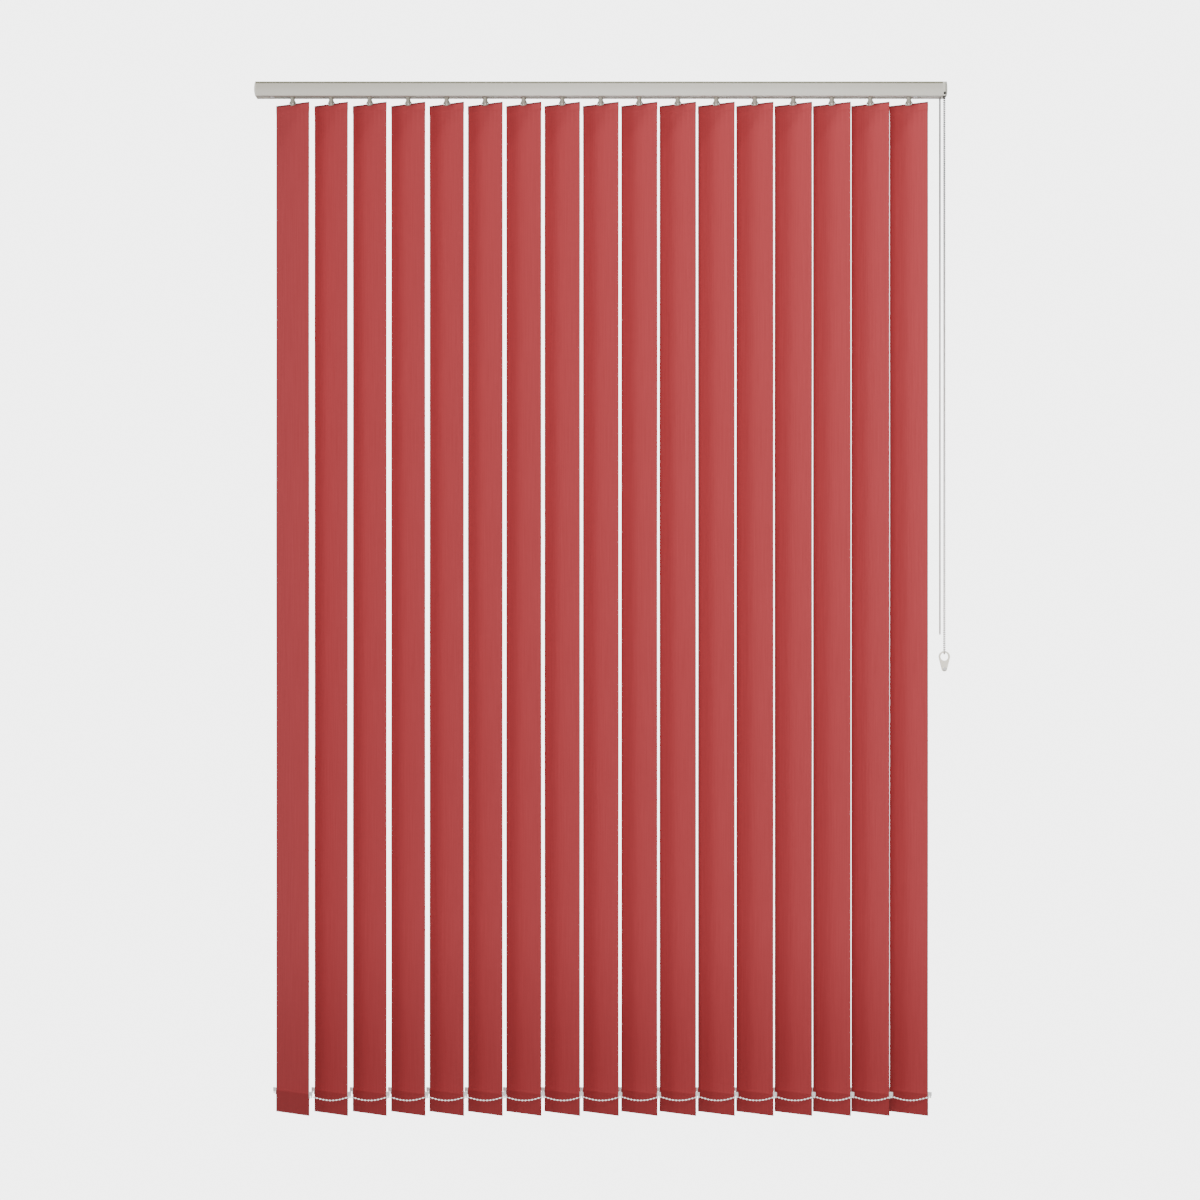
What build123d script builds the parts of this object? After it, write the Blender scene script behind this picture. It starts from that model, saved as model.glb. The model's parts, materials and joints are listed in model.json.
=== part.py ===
"""Vertical blind: headrail with carriers, turning louvres, draw cord, tilt chain and bottom chains.

Millimetres. +X runs along the rail towards the controls, -Y is the room side, +Z is up.
The origin is the middle of the ceiling plane, on the top face of the brackets.
"""
from build123d import *
from math import copysign, cos, pi, radians, sin, tan
import os

os.makedirs("parts", exist_ok=True)

# ---- overall ----
BLIND_WIDTH = 1400.0
END_ROOM = 150.0  # rail that the two outer louvres leave free, both ends together
LOUVRE_PITCH = 78.0
LOUVRE_WIDTH = 89.0
LOUVRE_LENGTH = 2045.5
LOUVRE_ANGLE = 36.0  # turn of each louvre out of the window plane, right edge to the room
LOUVRE_DROP = 13.0  # from the rail's underside to the top of the fabric

# ---- clearances ----
SEAT_GAP = 0.3
RUN_GAP = 0.05
FIT_GAP = 0.1
POCKET_GAP = 0.4
MESH_GAP = 0.2
CUT_OVER = 1.0  # how far a cut runs on past the face that it opens

# ---- bracket ----
BRACKET_COUNT = 3
BRACKET_INSET = 140.0
BRACKET_LENGTH = 30.0
BRACKET_DEPTH = 18.0
BRACKET_PLATE = 1.5
BRACKET_CORNER_R = 2.0
BRACKET_HOLE_R = 2.25
HOOK_THICK = 0.8
HOOK_REACH = 1.6

# ---- headrail ----
RAIL_DEPTH = 40.0
RAIL_HEIGHT = 29.0
RAIL_WALL = 1.3
RAIL_CORNER_R = 1.0
SLOT_WIDTH = 16.0
CHANNEL_MOUTH = 14.0
CHANNEL_WIDTH = 20.0
CHANNEL_DEPTH = 2.5
GROOVE_LIP = 1.2
GROOVE_HEIGHT = 2.8
GROOVE_DEPTH = 1.2
NOTCH_LENGTH = 15.0

# ---- end caps ----
CAP_CORNER_R = 1.4
CAP_LEFT_PLATE = 3.4
CAP_LEFT_CROWN = 2.0
CAP_EDGE_R = 0.8
CAP_FOOT = 11.0
BLOCK_WALL = 1.0
CAP_RIGHT_DEPTH = 9.3
CAP_RIGHT_CROWN = 1.2
CAP_RIGHT_WALL = 2.0
CHAIN_SLOT_SIDE = 1.1
CHAIN_SLOT_END = 0.6
WINDOW_HEIGHT = 5.0
WINDOW_WIDTH = 5.6
WINDOW_LIFT = 3.2

# ---- tilt drive ----
ROD_R = 2.7
ROD_DROP = 5.6  # from the draw cord's line down to the rod's
ROD_INSET_LEFT = 8.0
ROD_END_PLAY = 1.0
ROD_GROOVE_R = 0.7
ROD_GROOVES = 3
WORM_R = 4.1
WORM_LENGTH = 9.6
BALL_D = 3.2
BALL_PITCH = 4.4
WHEEL_POCKETS = 12
WHEEL_WIDTH = 5.0
WHEEL_RIM = 0.6
WHEEL_INSET = 4.3

# ---- draw cord ----
CORD_D = 2.0
CORD_HEADROOM = 2.0
CORD_FRONT_Y = 1.6
CORD_WALL_ROOM = 3.7
CORD_INSET = 2.7
CORD_DROP = 1116.8
CORD_EXIT_R = 2.2
GUIDE_R = 6.0
GUIDE_WIDTH = 3.6
PULLEY_RIM = 1.2
PULLEY_PIN_R = 1.5
PIN_SHOULDER = 1.4
RETURN_INSET = 18.0
BEND_RELIEF = 0.01
BEND_SHARE = 0.45  # bend radius over the length of the shorter run beside it

# ---- carrier ----
TRUCK_LENGTH = 13.0
TRUCK_SIDE_GAP = 1.2
TRUCK_CORNER_R = 1.5
TRUCK_ROOF = 0.9
CORD_HOLE_R = 1.7
ROD_PASS_GAP = 0.5
GEAR_R = 3.7
GEAR_HEIGHT = 4.6
NECK_R = 2.5
LINK_THICK = 0.35
LINK_HEIGHT = 4.0
LINK_START = 5.0
LINK_TAIL = 2.0
LINK_SLANT = 3.6
LINK_INSET = 6.2
LINK_SLOT_DEPTH = 5.0
LINK_SLOT_PLAY = 1.0
LINK_LIFT = 3.0

# ---- hook stem and hanger ----
COLLAR_R = 5.0
COLLAR_HEIGHT = 1.6
COLLAR_TAPER = 18.0
PRONG_WIDTH = 6.4
PRONG_FLARE = 11.0
PRONG_THICK = 1.2
PRONG_NECK = 3.4
PRONG_CORNER_R = 0.8
PEG_R = 1.4
PEG_DROP = 5.5
PLATE_THICK = 1.0
PLATE_HEIGHT = 11.0
PLATE_DROP = 0.9
TAB_BASE = 16.0
TAB_TOP = 5.6
TAB_RIM = 1.9
TAB_SHOULDER = 1.0
TAB_NOTCH = 3.6
TAB_RELIEF = 2.4

# ---- fabric ----
FABRIC = 0.4
POCKET_ROOM = 2.0  # from a pocket's open end to the plate or weight inside it
TOP_SPARE = 7.0
BOTTOM_SPARE = 8.0
WELD_TAIL = 2.0
POCKET_TAPER = 5.5
NOTCH_SIDE = 1.0

# ---- bottom weight, clips and chains ----
WEIGHT_HEIGHT = 39.0
WEIGHT_THICK = 1.0
WEIGHT_CORNER_R = 2.0
CLIP_LENGTH = 7.8
CLIP_THICK = 3.2
CLIP_HEIGHT = 14.0
CLIP_RISE = 1.8
CLIP_CORNER_R = 0.6
CLIP_ROOT = 1.0  # how far the clip's pieces run into each other
SPINE_LENGTH = 1.8
SPINE_THICK = 2.0
TONGUE_LENGTH = 5.5
TONGUE_HEIGHT = 6.0
PIN_R = 1.2
PIN_OUT = 6.0
PIN_FOOT = 2.4
EYE_DROP = 9.6
CHAIN_D = 2.9
CHAIN_SAG = 7.2
CHAIN_HALF_FLAT = 13.0

# ---- rail stops ----
STOP_LENGTH = 7.5
STOP_DEPTH = 24.0
STOP_HEIGHT = 5.0
STOP_INSET = 34.0
STOP_SPACE = 10.7
STOP_SCREW_R = 1.5
STOP_SCREW_LENGTH = 5.6
STOP_SCREW_RECESS = 0.4

# ---- control housing ----
HOUSING_LENGTH = 43.0

# ---- tilt chain and its safety clip ----
CHAIN_DROP = 1155.7
CHAIN_BEND = 0.9  # bend radius at the bight over the wheel's radius
SAFETY_BAND = 3.2
SAFETY_WIDTH = 7.0
SAFETY_R = 11.3
SAFETY_PLAY = 0.7
SAFETY_TAB_DROP = 41.5
SAFETY_TAB_R = 5.2
SAFETY_HOLE_R = 2.1
SAFETY_SCREW_LENGTH = 16.0
SAFETY_HEAD_R = 3.6
SAFETY_HEAD_HEIGHT = 1.8
SAFETY_HEAD_ROUND = 1.0

# ---- places worked out from the sizes above ----
HALF = BLIND_WIDTH / 2
LOUVRE_COUNT = int((BLIND_WIDTH - END_ROOM) / LOUVRE_PITCH) + 1
RAIL_TOP = -BRACKET_PLATE
RAIL_BOTTOM = RAIL_TOP - RAIL_HEIGHT
FLANGE_TOP = RAIL_BOTTOM + RAIL_WALL
CHANNEL_ROOF = RAIL_TOP - RAIL_WALL
CHANNEL_FLOOR = CHANNEL_ROOF - CHANNEL_DEPTH
INNER_TOP = CHANNEL_FLOOR - RAIL_WALL
INNER_HALF = RAIL_DEPTH / 2 - RAIL_WALL
BLOCK_HALF = INNER_HALF - FIT_GAP
RAIL_LEFT = -HALF + CAP_LEFT_PLATE
RAIL_RIGHT = HALF - CAP_RIGHT_DEPTH
HOUSING_LEFT = RAIL_RIGHT - HOUSING_LENGTH
CORD_X = RAIL_RIGHT - CORD_INSET
CORD_Z = INNER_TOP - CORD_HEADROOM - GUIDE_WIDTH / 2
CORD_BACK_Y = INNER_HALF - CORD_WALL_ROOM
CORD_LOW = RAIL_TOP - CORD_DROP
ROD_Y = -(GEAR_R + WORM_R + MESH_GAP)
ROD_Z = CORD_Z - ROD_DROP
GEAR_Z = ROD_Z
GEAR_BOTTOM = GEAR_Z - GEAR_HEIGHT / 2
RETURN_R = (CORD_BACK_Y - CORD_FRONT_Y) / 2
RETURN_Y = (CORD_BACK_Y + CORD_FRONT_Y) / 2
RETURN_X = -HALF + RETURN_INSET
GUIDE_X = CORD_X - GUIDE_R
GUIDE_Z = CORD_Z - GUIDE_R
WHEEL_R = WHEEL_POCKETS * BALL_PITCH / (2 * pi)
WHEEL_X = RAIL_RIGHT + WHEEL_INSET
CHAIN_FRONT_Y = ROD_Y - WHEEL_R
CHAIN_BACK_Y = ROD_Y + WHEEL_R
CHAIN_LOW = RAIL_TOP - CHAIN_DROP
STOP_LEFT_X = -HALF + STOP_INSET
STOP_RIGHT_X = HOUSING_LEFT - STOP_SPACE
TRUCK_DEPTH = 2 * (INNER_HALF - TRUCK_SIDE_GAP)
TRUCK_BOTTOM = FLANGE_TOP + SEAT_GAP
TRUCK_TOP = CORD_Z + CORD_HOLE_R + TRUCK_ROOF
LINK_Y = TRUCK_DEPTH / 2 - LINK_INSET
LINK_REACH = LOUVRE_PITCH + TRUCK_LENGTH / 2 + LINK_TAIL
PLATE_WIDTH = LOUVRE_WIDTH - 2 * POCKET_ROOM
WEIGHT_WIDTH = LOUVRE_WIDTH - 2 * POCKET_ROOM
TOP_WELD = PLATE_HEIGHT + TOP_SPARE
BOTTOM_WELD = WEIGHT_HEIGHT + BOTTOM_SPARE
POCKET_CAVITY_HALF = max(PLATE_THICK, WEIGHT_THICK) / 2 + FIT_GAP
POCKET_HALF = POCKET_CAVITY_HALF + FABRIC
LOUVRE_TOP = RAIL_BOTTOM - LOUVRE_DROP
LOUVRE_BOTTOM = LOUVRE_TOP - LOUVRE_LENGTH
FIRST_X = -LOUVRE_PITCH * (LOUVRE_COUNT - 1) / 2
FORK_TOP = RAIL_BOTTOM - COLLAR_HEIGHT
PEG_Z = FORK_TOP - PEG_DROP
CLIP_CREST = LOUVRE_BOTTOM + BOTTOM_WELD + CLIP_RISE
CLIP_FOOT = CLIP_CREST - CLIP_HEIGHT
EYE_Z = CLIP_CREST - EYE_DROP
EYE_OUT = LOUVRE_WIDTH / 2 + PIN_OUT
EYE_SIDE = PIN_R + 2 * SEAT_GAP
ACROSS = Vector(cos(radians(LOUVRE_ANGLE)), -sin(radians(LOUVRE_ANGLE)), 0)
FACING = Vector(sin(radians(LOUVRE_ANGLE)), cos(radians(LOUVRE_ANGLE)), 0)


def save(shape, name):
    """Label a finished piece and write it as one STEP file."""
    shape.label = name
    export_step(shape, f"parts/{name}.step")


def louvre_x(number):
    """Place of a louvre along the rail, counted from 1 at the left."""
    return FIRST_X + (number - 1) * LOUVRE_PITCH


def tube(points, diameter):
    """A round cord along straight runs joined by tangent arcs."""
    corners = [Vector(*p) for p in points]
    radii = []
    for before, here, after in zip(corners, corners[1:], corners[2:]):
        turn = (here - before).get_angle(after - here)
        shorter = min((here - before).length, (after - here).length)
        radii.append(BEND_SHARE * shorter / tan(radians(turn / 2)))
    with BuildPart() as cord:
        with BuildLine() as route:
            FilletPolyline(*points, radius=radii)
        start = Plane(origin=corners[0], z_dir=corners[1] - corners[0])
        with BuildSketch(start):
            Circle(diameter / 2)
        sweep(path=route.wires()[0])
    return cord

# ---- headrail: open at the bottom, a bracket channel along the top, a groove along each side ----
with BuildPart() as headrail:
    with BuildSketch(Plane.YZ.offset(RAIL_LEFT)):
        with Locations((0, RAIL_TOP - RAIL_HEIGHT / 2)):
            outline = Rectangle(RAIL_DEPTH, RAIL_HEIGHT)
        fillet(outline.vertices(), RAIL_CORNER_R)
        with Locations((0, (INNER_TOP + FLANGE_TOP) / 2)):
            Rectangle(2 * INNER_HALF, INNER_TOP - FLANGE_TOP, mode=Mode.SUBTRACT)
        with Locations((0, RAIL_BOTTOM + RAIL_WALL / 2)):
            Rectangle(SLOT_WIDTH, RAIL_WALL, mode=Mode.SUBTRACT)
        with Locations((0, (CHANNEL_ROOF + CHANNEL_FLOOR) / 2)):
            Rectangle(CHANNEL_WIDTH, CHANNEL_DEPTH, mode=Mode.SUBTRACT)
        with Locations((0, RAIL_TOP - RAIL_WALL / 2)):
            Rectangle(CHANNEL_MOUTH, RAIL_WALL, mode=Mode.SUBTRACT)
        for side in (-1, 1):
            with Locations(
                (side * (RAIL_DEPTH - GROOVE_DEPTH) / 2, RAIL_TOP - GROOVE_LIP - GROOVE_HEIGHT / 2)
            ):
                Rectangle(GROOVE_DEPTH, GROOVE_HEIGHT, mode=Mode.SUBTRACT)
    extrude(amount=RAIL_RIGHT - RAIL_LEFT)
    with BuildSketch(Plane.XY.offset(RAIL_BOTTOM)):
        with Locations((RAIL_RIGHT - NOTCH_LENGTH / 2, 0)):
            Rectangle(NOTCH_LENGTH, 2 * INNER_HALF)
    extrude(amount=RAIL_WALL, mode=Mode.SUBTRACT)
save(headrail.part, "headrail")

# ---- ceiling brackets: a plate with two hooks that snap under the channel's lips ----
HOOK_DROP = RAIL_WALL + SEAT_GAP + HOOK_THICK
HOOK_SPAN = CHANNEL_MOUTH - 2 * SEAT_GAP
BRACKET_SPACING = 2 * (HALF - BRACKET_INSET) / (BRACKET_COUNT - 1)
for index in range(BRACKET_COUNT):
    bracket_x = BRACKET_INSET - HALF + index * BRACKET_SPACING
    with BuildPart() as bracket:
        with BuildSketch(Plane.XY.offset(RAIL_TOP)):
            with Locations((bracket_x, 0)):
                RectangleRounded(BRACKET_LENGTH, BRACKET_DEPTH, BRACKET_CORNER_R)
        extrude(amount=BRACKET_PLATE)
        with BuildSketch(Plane.YZ.offset(bracket_x - BRACKET_LENGTH / 2 + BRACKET_CORNER_R)):
            for side in (-1, 1):
                with Locations((side * (HOOK_SPAN - HOOK_THICK) / 2, RAIL_TOP - HOOK_DROP / 2)):
                    Rectangle(HOOK_THICK, HOOK_DROP)
                with Locations(
                    (side * (HOOK_SPAN + HOOK_REACH) / 2, RAIL_TOP - HOOK_DROP + HOOK_THICK / 2)
                ):
                    Rectangle(HOOK_REACH, HOOK_THICK)
        extrude(amount=BRACKET_LENGTH - 2 * BRACKET_CORNER_R)
        with Locations((bracket_x, 0, 0)):
            Hole(BRACKET_HOLE_R, BRACKET_PLATE)
    save(bracket.part, f"ceiling_bracket_{index + 1}")



def crowned_cap(inner_x, outer_x, crown):
    """An end cap's body: the rail's outline, with an outer face that bulges outwards."""
    shoulder = outer_x - copysign(crown, outer_x)
    middle = RAIL_TOP - RAIL_HEIGHT / 2
    with BuildPart() as cap:
        with BuildSketch(Plane.XZ.offset(-RAIL_DEPTH / 2)):
            with BuildLine():
                Polyline(
                    (shoulder, RAIL_TOP),
                    (inner_x, RAIL_TOP),
                    (inner_x, RAIL_BOTTOM),
                    (shoulder, RAIL_BOTTOM),
                )
                ThreePointArc((shoulder, RAIL_TOP), (outer_x, middle), (shoulder, RAIL_BOTTOM))
            make_face()
        extrude(amount=RAIL_DEPTH)
        fillet(cap.edges().filter_by(Axis.X), CAP_CORNER_R)
        fillet(cap.faces().sort_by(Axis.X, reverse=outer_x > 0)[0].edges(), CAP_EDGE_R)
    return cap.part


# ---- left end cap: a cover plate and a block that holds the return pulley and the rod ----
PULLEY_POCKET = GUIDE_WIDTH / 2 + SEAT_GAP
PULLEY_EDGE = RETURN_R + PULLEY_RIM
BLOCK_LENGTH = RETURN_X - RAIL_LEFT + PULLEY_EDGE + BLOCK_WALL
ROD_LEFT = -HALF + ROD_INSET_LEFT
ROD_RIGHT = HALF - CAP_RIGHT_WALL - ROD_END_PLAY
RETURN_PIN_LENGTH = 2 * (INNER_TOP - 4 * FIT_GAP - CORD_Z)
with BuildPart() as cap_left:
    add(crowned_cap(RAIL_LEFT, -HALF, CAP_LEFT_CROWN))
    with BuildSketch(Plane.YZ.offset(RAIL_LEFT)):
        with Locations((0, (INNER_TOP + FLANGE_TOP) / 2)):
            Rectangle(2 * BLOCK_HALF, INNER_TOP - FLANGE_TOP - 2 * FIT_GAP)
    extrude(amount=BLOCK_LENGTH)
    with BuildSketch(Plane.YZ.offset(RAIL_LEFT)):
        with Locations((0, RAIL_BOTTOM + (RAIL_WALL + FIT_GAP) / 2)):
            Rectangle(SLOT_WIDTH - 2 * FIT_GAP, RAIL_WALL + FIT_GAP)
    extrude(amount=CAP_FOOT)
    with BuildSketch(Plane.XY.offset(CORD_Z - PULLEY_POCKET)):
        with Locations((RETURN_X, RETURN_Y)):
            Circle(PULLEY_EDGE + POCKET_GAP)
        with Locations((RETURN_X + PULLEY_EDGE, RETURN_Y)):
            Rectangle(2 * PULLEY_EDGE, 2 * (PULLEY_EDGE + POCKET_GAP))
    extrude(amount=2 * PULLEY_POCKET, mode=Mode.SUBTRACT)
    with Locations((RETURN_X, RETURN_Y, CORD_Z)):
        Cylinder(PULLEY_PIN_R + FIT_GAP, RETURN_PIN_LENGTH + 2 * FIT_GAP, mode=Mode.SUBTRACT)
    with BuildSketch(Plane.YZ.offset(ROD_LEFT - ROD_END_PLAY)):
        with Locations((ROD_Y, ROD_Z)):
            Circle(ROD_R + RUN_GAP)
    extrude(amount=BLOCK_LENGTH, mode=Mode.SUBTRACT)
save(cap_left.part, "end_cap_left")


def pulley(radius, pin_r, plane):
    """A grooved wheel round a cord whose centre line runs at the given radius."""
    half = GUIDE_WIDTH / 2
    edge = radius + PULLEY_RIM
    with BuildPart() as wheel:
        with BuildSketch(plane):
            Circle(edge)
            Circle(pin_r + RUN_GAP, mode=Mode.SUBTRACT)
        extrude(amount=half, both=True)
        with BuildSketch(Plane(origin=plane.origin, x_dir=plane.x_dir, z_dir=plane.y_dir)) as groove:
            with Locations((radius, 0)):
                Circle(CORD_D / 2 + RUN_GAP)
            with Locations((radius + edge / 2, 0)):
                Rectangle(edge, CORD_D + 2 * RUN_GAP)
        revolve(axis=Axis(plane.origin, plane.z_dir), mode=Mode.SUBTRACT)
    return wheel


return_pulley = pulley(RETURN_R, PULLEY_PIN_R, Plane((RETURN_X, RETURN_Y, CORD_Z)))
save(return_pulley.part, "return_pulley")
with BuildPart() as return_pin:
    with Locations((RETURN_X, RETURN_Y, CORD_Z)):
        Cylinder(PULLEY_PIN_R, RETURN_PIN_LENGTH)
save(return_pin.part, "return_pulley_pin")

guide_front = pulley(GUIDE_R, PULLEY_PIN_R, Plane((GUIDE_X, CORD_FRONT_Y, GUIDE_Z), z_dir=(0, 1, 0)))
save(guide_front.part, "guide_pulley_front")
guide_back = pulley(GUIDE_R, PULLEY_PIN_R, Plane((GUIDE_X, CORD_BACK_Y, GUIDE_Z), z_dir=(0, 1, 0)))
save(guide_back.part, "guide_pulley_back")
PIN_FRONT = CORD_FRONT_Y - GUIDE_WIDTH / 2 - PIN_SHOULDER
PIN_BACK = BLOCK_HALF - SEAT_GAP
with BuildPart() as guide_pin:
    with Locations(Location((GUIDE_X, (PIN_FRONT + PIN_BACK) / 2, GUIDE_Z), (90, 0, 0))):
        Cylinder(PULLEY_PIN_R, PIN_BACK - PIN_FRONT)
save(guide_pin.part, "guide_pulley_pin")

# ---- control housing: fills the rail's right end, carries the guide pulleys and the rod ----
GUIDE_EDGE = GUIDE_R + PULLEY_RIM
with BuildPart() as housing:
    with BuildSketch(Plane.YZ.offset(HOUSING_LEFT)):
        with Locations((0, (INNER_TOP + FLANGE_TOP) / 2)):
            Rectangle(2 * BLOCK_HALF, INNER_TOP - FLANGE_TOP - 2 * FIT_GAP)
    extrude(amount=HOUSING_LENGTH)
    with BuildSketch(Plane.XY.offset(RAIL_BOTTOM)):
        with Locations(((HOUSING_LEFT + RAIL_RIGHT) / 2, 0)):
            Rectangle(HOUSING_LENGTH, SLOT_WIDTH - 2 * FIT_GAP)
        with Locations((RAIL_RIGHT - (NOTCH_LENGTH - FIT_GAP) / 2, 0)):
            Rectangle(NOTCH_LENGTH - FIT_GAP, 2 * BLOCK_HALF)
    extrude(amount=RAIL_WALL + FIT_GAP)
    for cord_y in (CORD_FRONT_Y, CORD_BACK_Y):
        with BuildSketch(Plane.XZ.offset(-cord_y)):
            with Locations((GUIDE_X, GUIDE_Z)):
                Circle(GUIDE_EDGE + POCKET_GAP)
        extrude(amount=GUIDE_WIDTH / 2 + SEAT_GAP, both=True, mode=Mode.SUBTRACT)
        with BuildSketch(Plane.XY.offset(GUIDE_Z)):
            with Locations((CORD_X, cord_y)):
                Circle(CORD_EXIT_R)
        extrude(amount=RAIL_BOTTOM - CUT_OVER - GUIDE_Z, mode=Mode.SUBTRACT)
        with BuildSketch(Plane.YZ.offset(HOUSING_LEFT - CUT_OVER)):
            with Locations((cord_y, CORD_Z)):
                Circle(CORD_HOLE_R)
        extrude(amount=GUIDE_X - HOUSING_LEFT + CUT_OVER, mode=Mode.SUBTRACT)
    with BuildSketch(Plane.XZ.offset(FIT_GAP - PIN_FRONT)):
        with Locations((GUIDE_X, GUIDE_Z)):
            Circle(PULLEY_PIN_R + FIT_GAP)
    extrude(amount=PIN_FRONT - PIN_BACK - 2 * FIT_GAP, mode=Mode.SUBTRACT)
    with BuildSketch(Plane.YZ.offset(HOUSING_LEFT - CUT_OVER)):
        with Locations((ROD_Y, ROD_Z)):
            Circle(ROD_R + RUN_GAP)
    extrude(amount=HOUSING_LENGTH + 2 * CUT_OVER, mode=Mode.SUBTRACT)
save(housing.part, "control_housing")

# ---- right end cap: a shell round the chain wheel, open below, with a small window in front ----
with BuildPart() as cap_right:
    add(crowned_cap(RAIL_RIGHT, HALF, CAP_RIGHT_CROWN))
    with BuildSketch(Plane.YZ.offset(RAIL_RIGHT)):
        with Locations((0, RAIL_TOP - RAIL_HEIGHT / 2)):
            Rectangle(2 * INNER_HALF, RAIL_HEIGHT - 2 * RAIL_WALL)
    extrude(amount=CAP_RIGHT_DEPTH - CAP_RIGHT_WALL, mode=Mode.SUBTRACT)
    with BuildSketch(Plane.XY.offset(RAIL_BOTTOM)):
        with Locations((WHEEL_X, ROD_Y)):
            Rectangle(BALL_D + 2 * CHAIN_SLOT_SIDE, 2 * (WHEEL_R + CHAIN_SLOT_END) + BALL_D)
    extrude(amount=RAIL_WALL, mode=Mode.SUBTRACT)
    with BuildSketch(Plane.XZ.offset(RAIL_DEPTH / 2 - RAIL_WALL)):
        with Locations((WHEEL_X, RAIL_BOTTOM + WINDOW_LIFT + WINDOW_HEIGHT / 2)):
            Rectangle(WINDOW_WIDTH, WINDOW_HEIGHT)
    extrude(amount=RAIL_WALL, mode=Mode.SUBTRACT)
save(cap_right.part, "end_cap_right")

# ---- tilt rod and chain wheel ----
with BuildPart() as rod:
    with BuildSketch(Plane.YZ.offset(ROD_LEFT)):
        with Locations((ROD_Y, ROD_Z)):
            Circle(ROD_R)
            with PolarLocations(ROD_R, ROD_GROOVES):
                Circle(ROD_GROOVE_R, mode=Mode.SUBTRACT)
    extrude(amount=ROD_RIGHT - ROD_LEFT)
save(rod.part, "tilt_rod")

with BuildPart() as chain_wheel:
    with BuildSketch(Plane.YZ.offset(WHEEL_X - WHEEL_WIDTH / 2)):
        with Locations((ROD_Y, ROD_Z)):
            Circle(WHEEL_R + WHEEL_RIM)
            Circle(ROD_R + RUN_GAP, mode=Mode.SUBTRACT)
    extrude(amount=WHEEL_WIDTH)
    # the groove is clear of the chain all the way round
    with BuildSketch(Plane((WHEEL_X, ROD_Y, ROD_Z), x_dir=(0, 1, 0), z_dir=(0, 0, 1))):
        with Locations((WHEEL_R, 0)):
            Circle(BALL_D / 2 + SEAT_GAP)
    revolve(axis=Axis((WHEEL_X, ROD_Y, ROD_Z), (1, 0, 0)), mode=Mode.SUBTRACT)
save(chain_wheel.part, "chain_wheel")

# ---- rail stops: clamped in the slot, each with its screw in the same node ----
for name, stop_x in (("rail_stop_left", STOP_LEFT_X), ("rail_stop_right", STOP_RIGHT_X)):
    with BuildPart() as stop:
        with BuildSketch(Plane.XY.offset(FLANGE_TOP + FIT_GAP)):
            with Locations((stop_x, 0)):
                Rectangle(STOP_LENGTH, STOP_DEPTH)
        extrude(amount=STOP_HEIGHT)
        with BuildSketch(Plane.XY.offset(RAIL_BOTTOM)):
            with Locations((stop_x, 0)):
                Rectangle(STOP_LENGTH, SLOT_WIDTH - 2 * FIT_GAP)
        extrude(amount=RAIL_WALL + FIT_GAP)
        with BuildSketch(Plane.XY.offset(RAIL_BOTTOM)):
            with Locations((stop_x, 0)):
                Circle(STOP_SCREW_R)
        extrude(amount=RAIL_WALL + FIT_GAP + STOP_HEIGHT + CUT_OVER, mode=Mode.SUBTRACT)
    save(stop.part, name)
with BuildPart() as stop_screws:
    with BuildSketch(Plane.XY.offset(RAIL_BOTTOM + STOP_SCREW_RECESS)):
        with Locations((STOP_LEFT_X, 0), (STOP_RIGHT_X, 0)):
            Circle(STOP_SCREW_R - RUN_GAP)
    extrude(amount=STOP_SCREW_LENGTH)
save(stop_screws.part, "rail_stop_screws")

# ---- carriers: truck, worm sleeve and the spacer link to the truck on its left ----
with BuildPart() as truck:
    with BuildSketch(Plane.XY.offset(TRUCK_BOTTOM)):
        RectangleRounded(TRUCK_LENGTH, TRUCK_DEPTH, TRUCK_CORNER_R)
    extrude(amount=TRUCK_TOP - TRUCK_BOTTOM)
    with BuildSketch(Plane.XY.offset(GEAR_BOTTOM - SEAT_GAP)):
        Circle(GEAR_R + SEAT_GAP)
    extrude(amount=GEAR_HEIGHT + 2 * SEAT_GAP, mode=Mode.SUBTRACT)
    with BuildSketch(Plane.XY.offset(TRUCK_BOTTOM)):
        Circle(NECK_R + SEAT_GAP)
    extrude(amount=GEAR_Z - TRUCK_BOTTOM, mode=Mode.SUBTRACT)
    with Locations(Location((0, ROD_Y, ROD_Z), (0, 90, 0))):
        Cylinder(WORM_R + RUN_GAP, WORM_LENGTH + 2 * FIT_GAP, mode=Mode.SUBTRACT)
        Cylinder(ROD_R + ROD_PASS_GAP, TRUCK_LENGTH + 2 * CUT_OVER, mode=Mode.SUBTRACT)
    for cord_y in (CORD_FRONT_Y, CORD_BACK_Y):
        with Locations(Location((0, cord_y, CORD_Z), (0, 90, 0))):
            Cylinder(CORD_HOLE_R, TRUCK_LENGTH + 2 * CUT_OVER, mode=Mode.SUBTRACT)
    with Locations((0, LINK_Y - SEAT_GAP + LINK_SLOT_DEPTH / 2, TRUCK_BOTTOM + LINK_LIFT)):
        Box(
            TRUCK_LENGTH + 2 * CUT_OVER,
            LINK_SLOT_DEPTH,
            LINK_HEIGHT + LINK_SLOT_PLAY,
            mode=Mode.SUBTRACT,
        )
with BuildPart() as worm:
    with Locations(Location((0, ROD_Y, ROD_Z), (0, 90, 0))):
        Cylinder(WORM_R, WORM_LENGTH)
        Cylinder(ROD_R + RUN_GAP, WORM_LENGTH, mode=Mode.SUBTRACT)
with BuildPart() as link:
    with BuildSketch(Plane.XY.offset(TRUCK_BOTTOM + LINK_LIFT - LINK_HEIGHT / 2)):
        with BuildLine():
            Polyline(
                (LINK_START, LINK_Y),
                (-LINK_REACH, LINK_Y + LINK_SLANT),
                (-LINK_REACH, LINK_Y + LINK_SLANT + LINK_THICK),
                (LINK_START, LINK_Y + LINK_THICK),
                close=True,
            )
        make_face()
    extrude(amount=LINK_HEIGHT)

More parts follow.
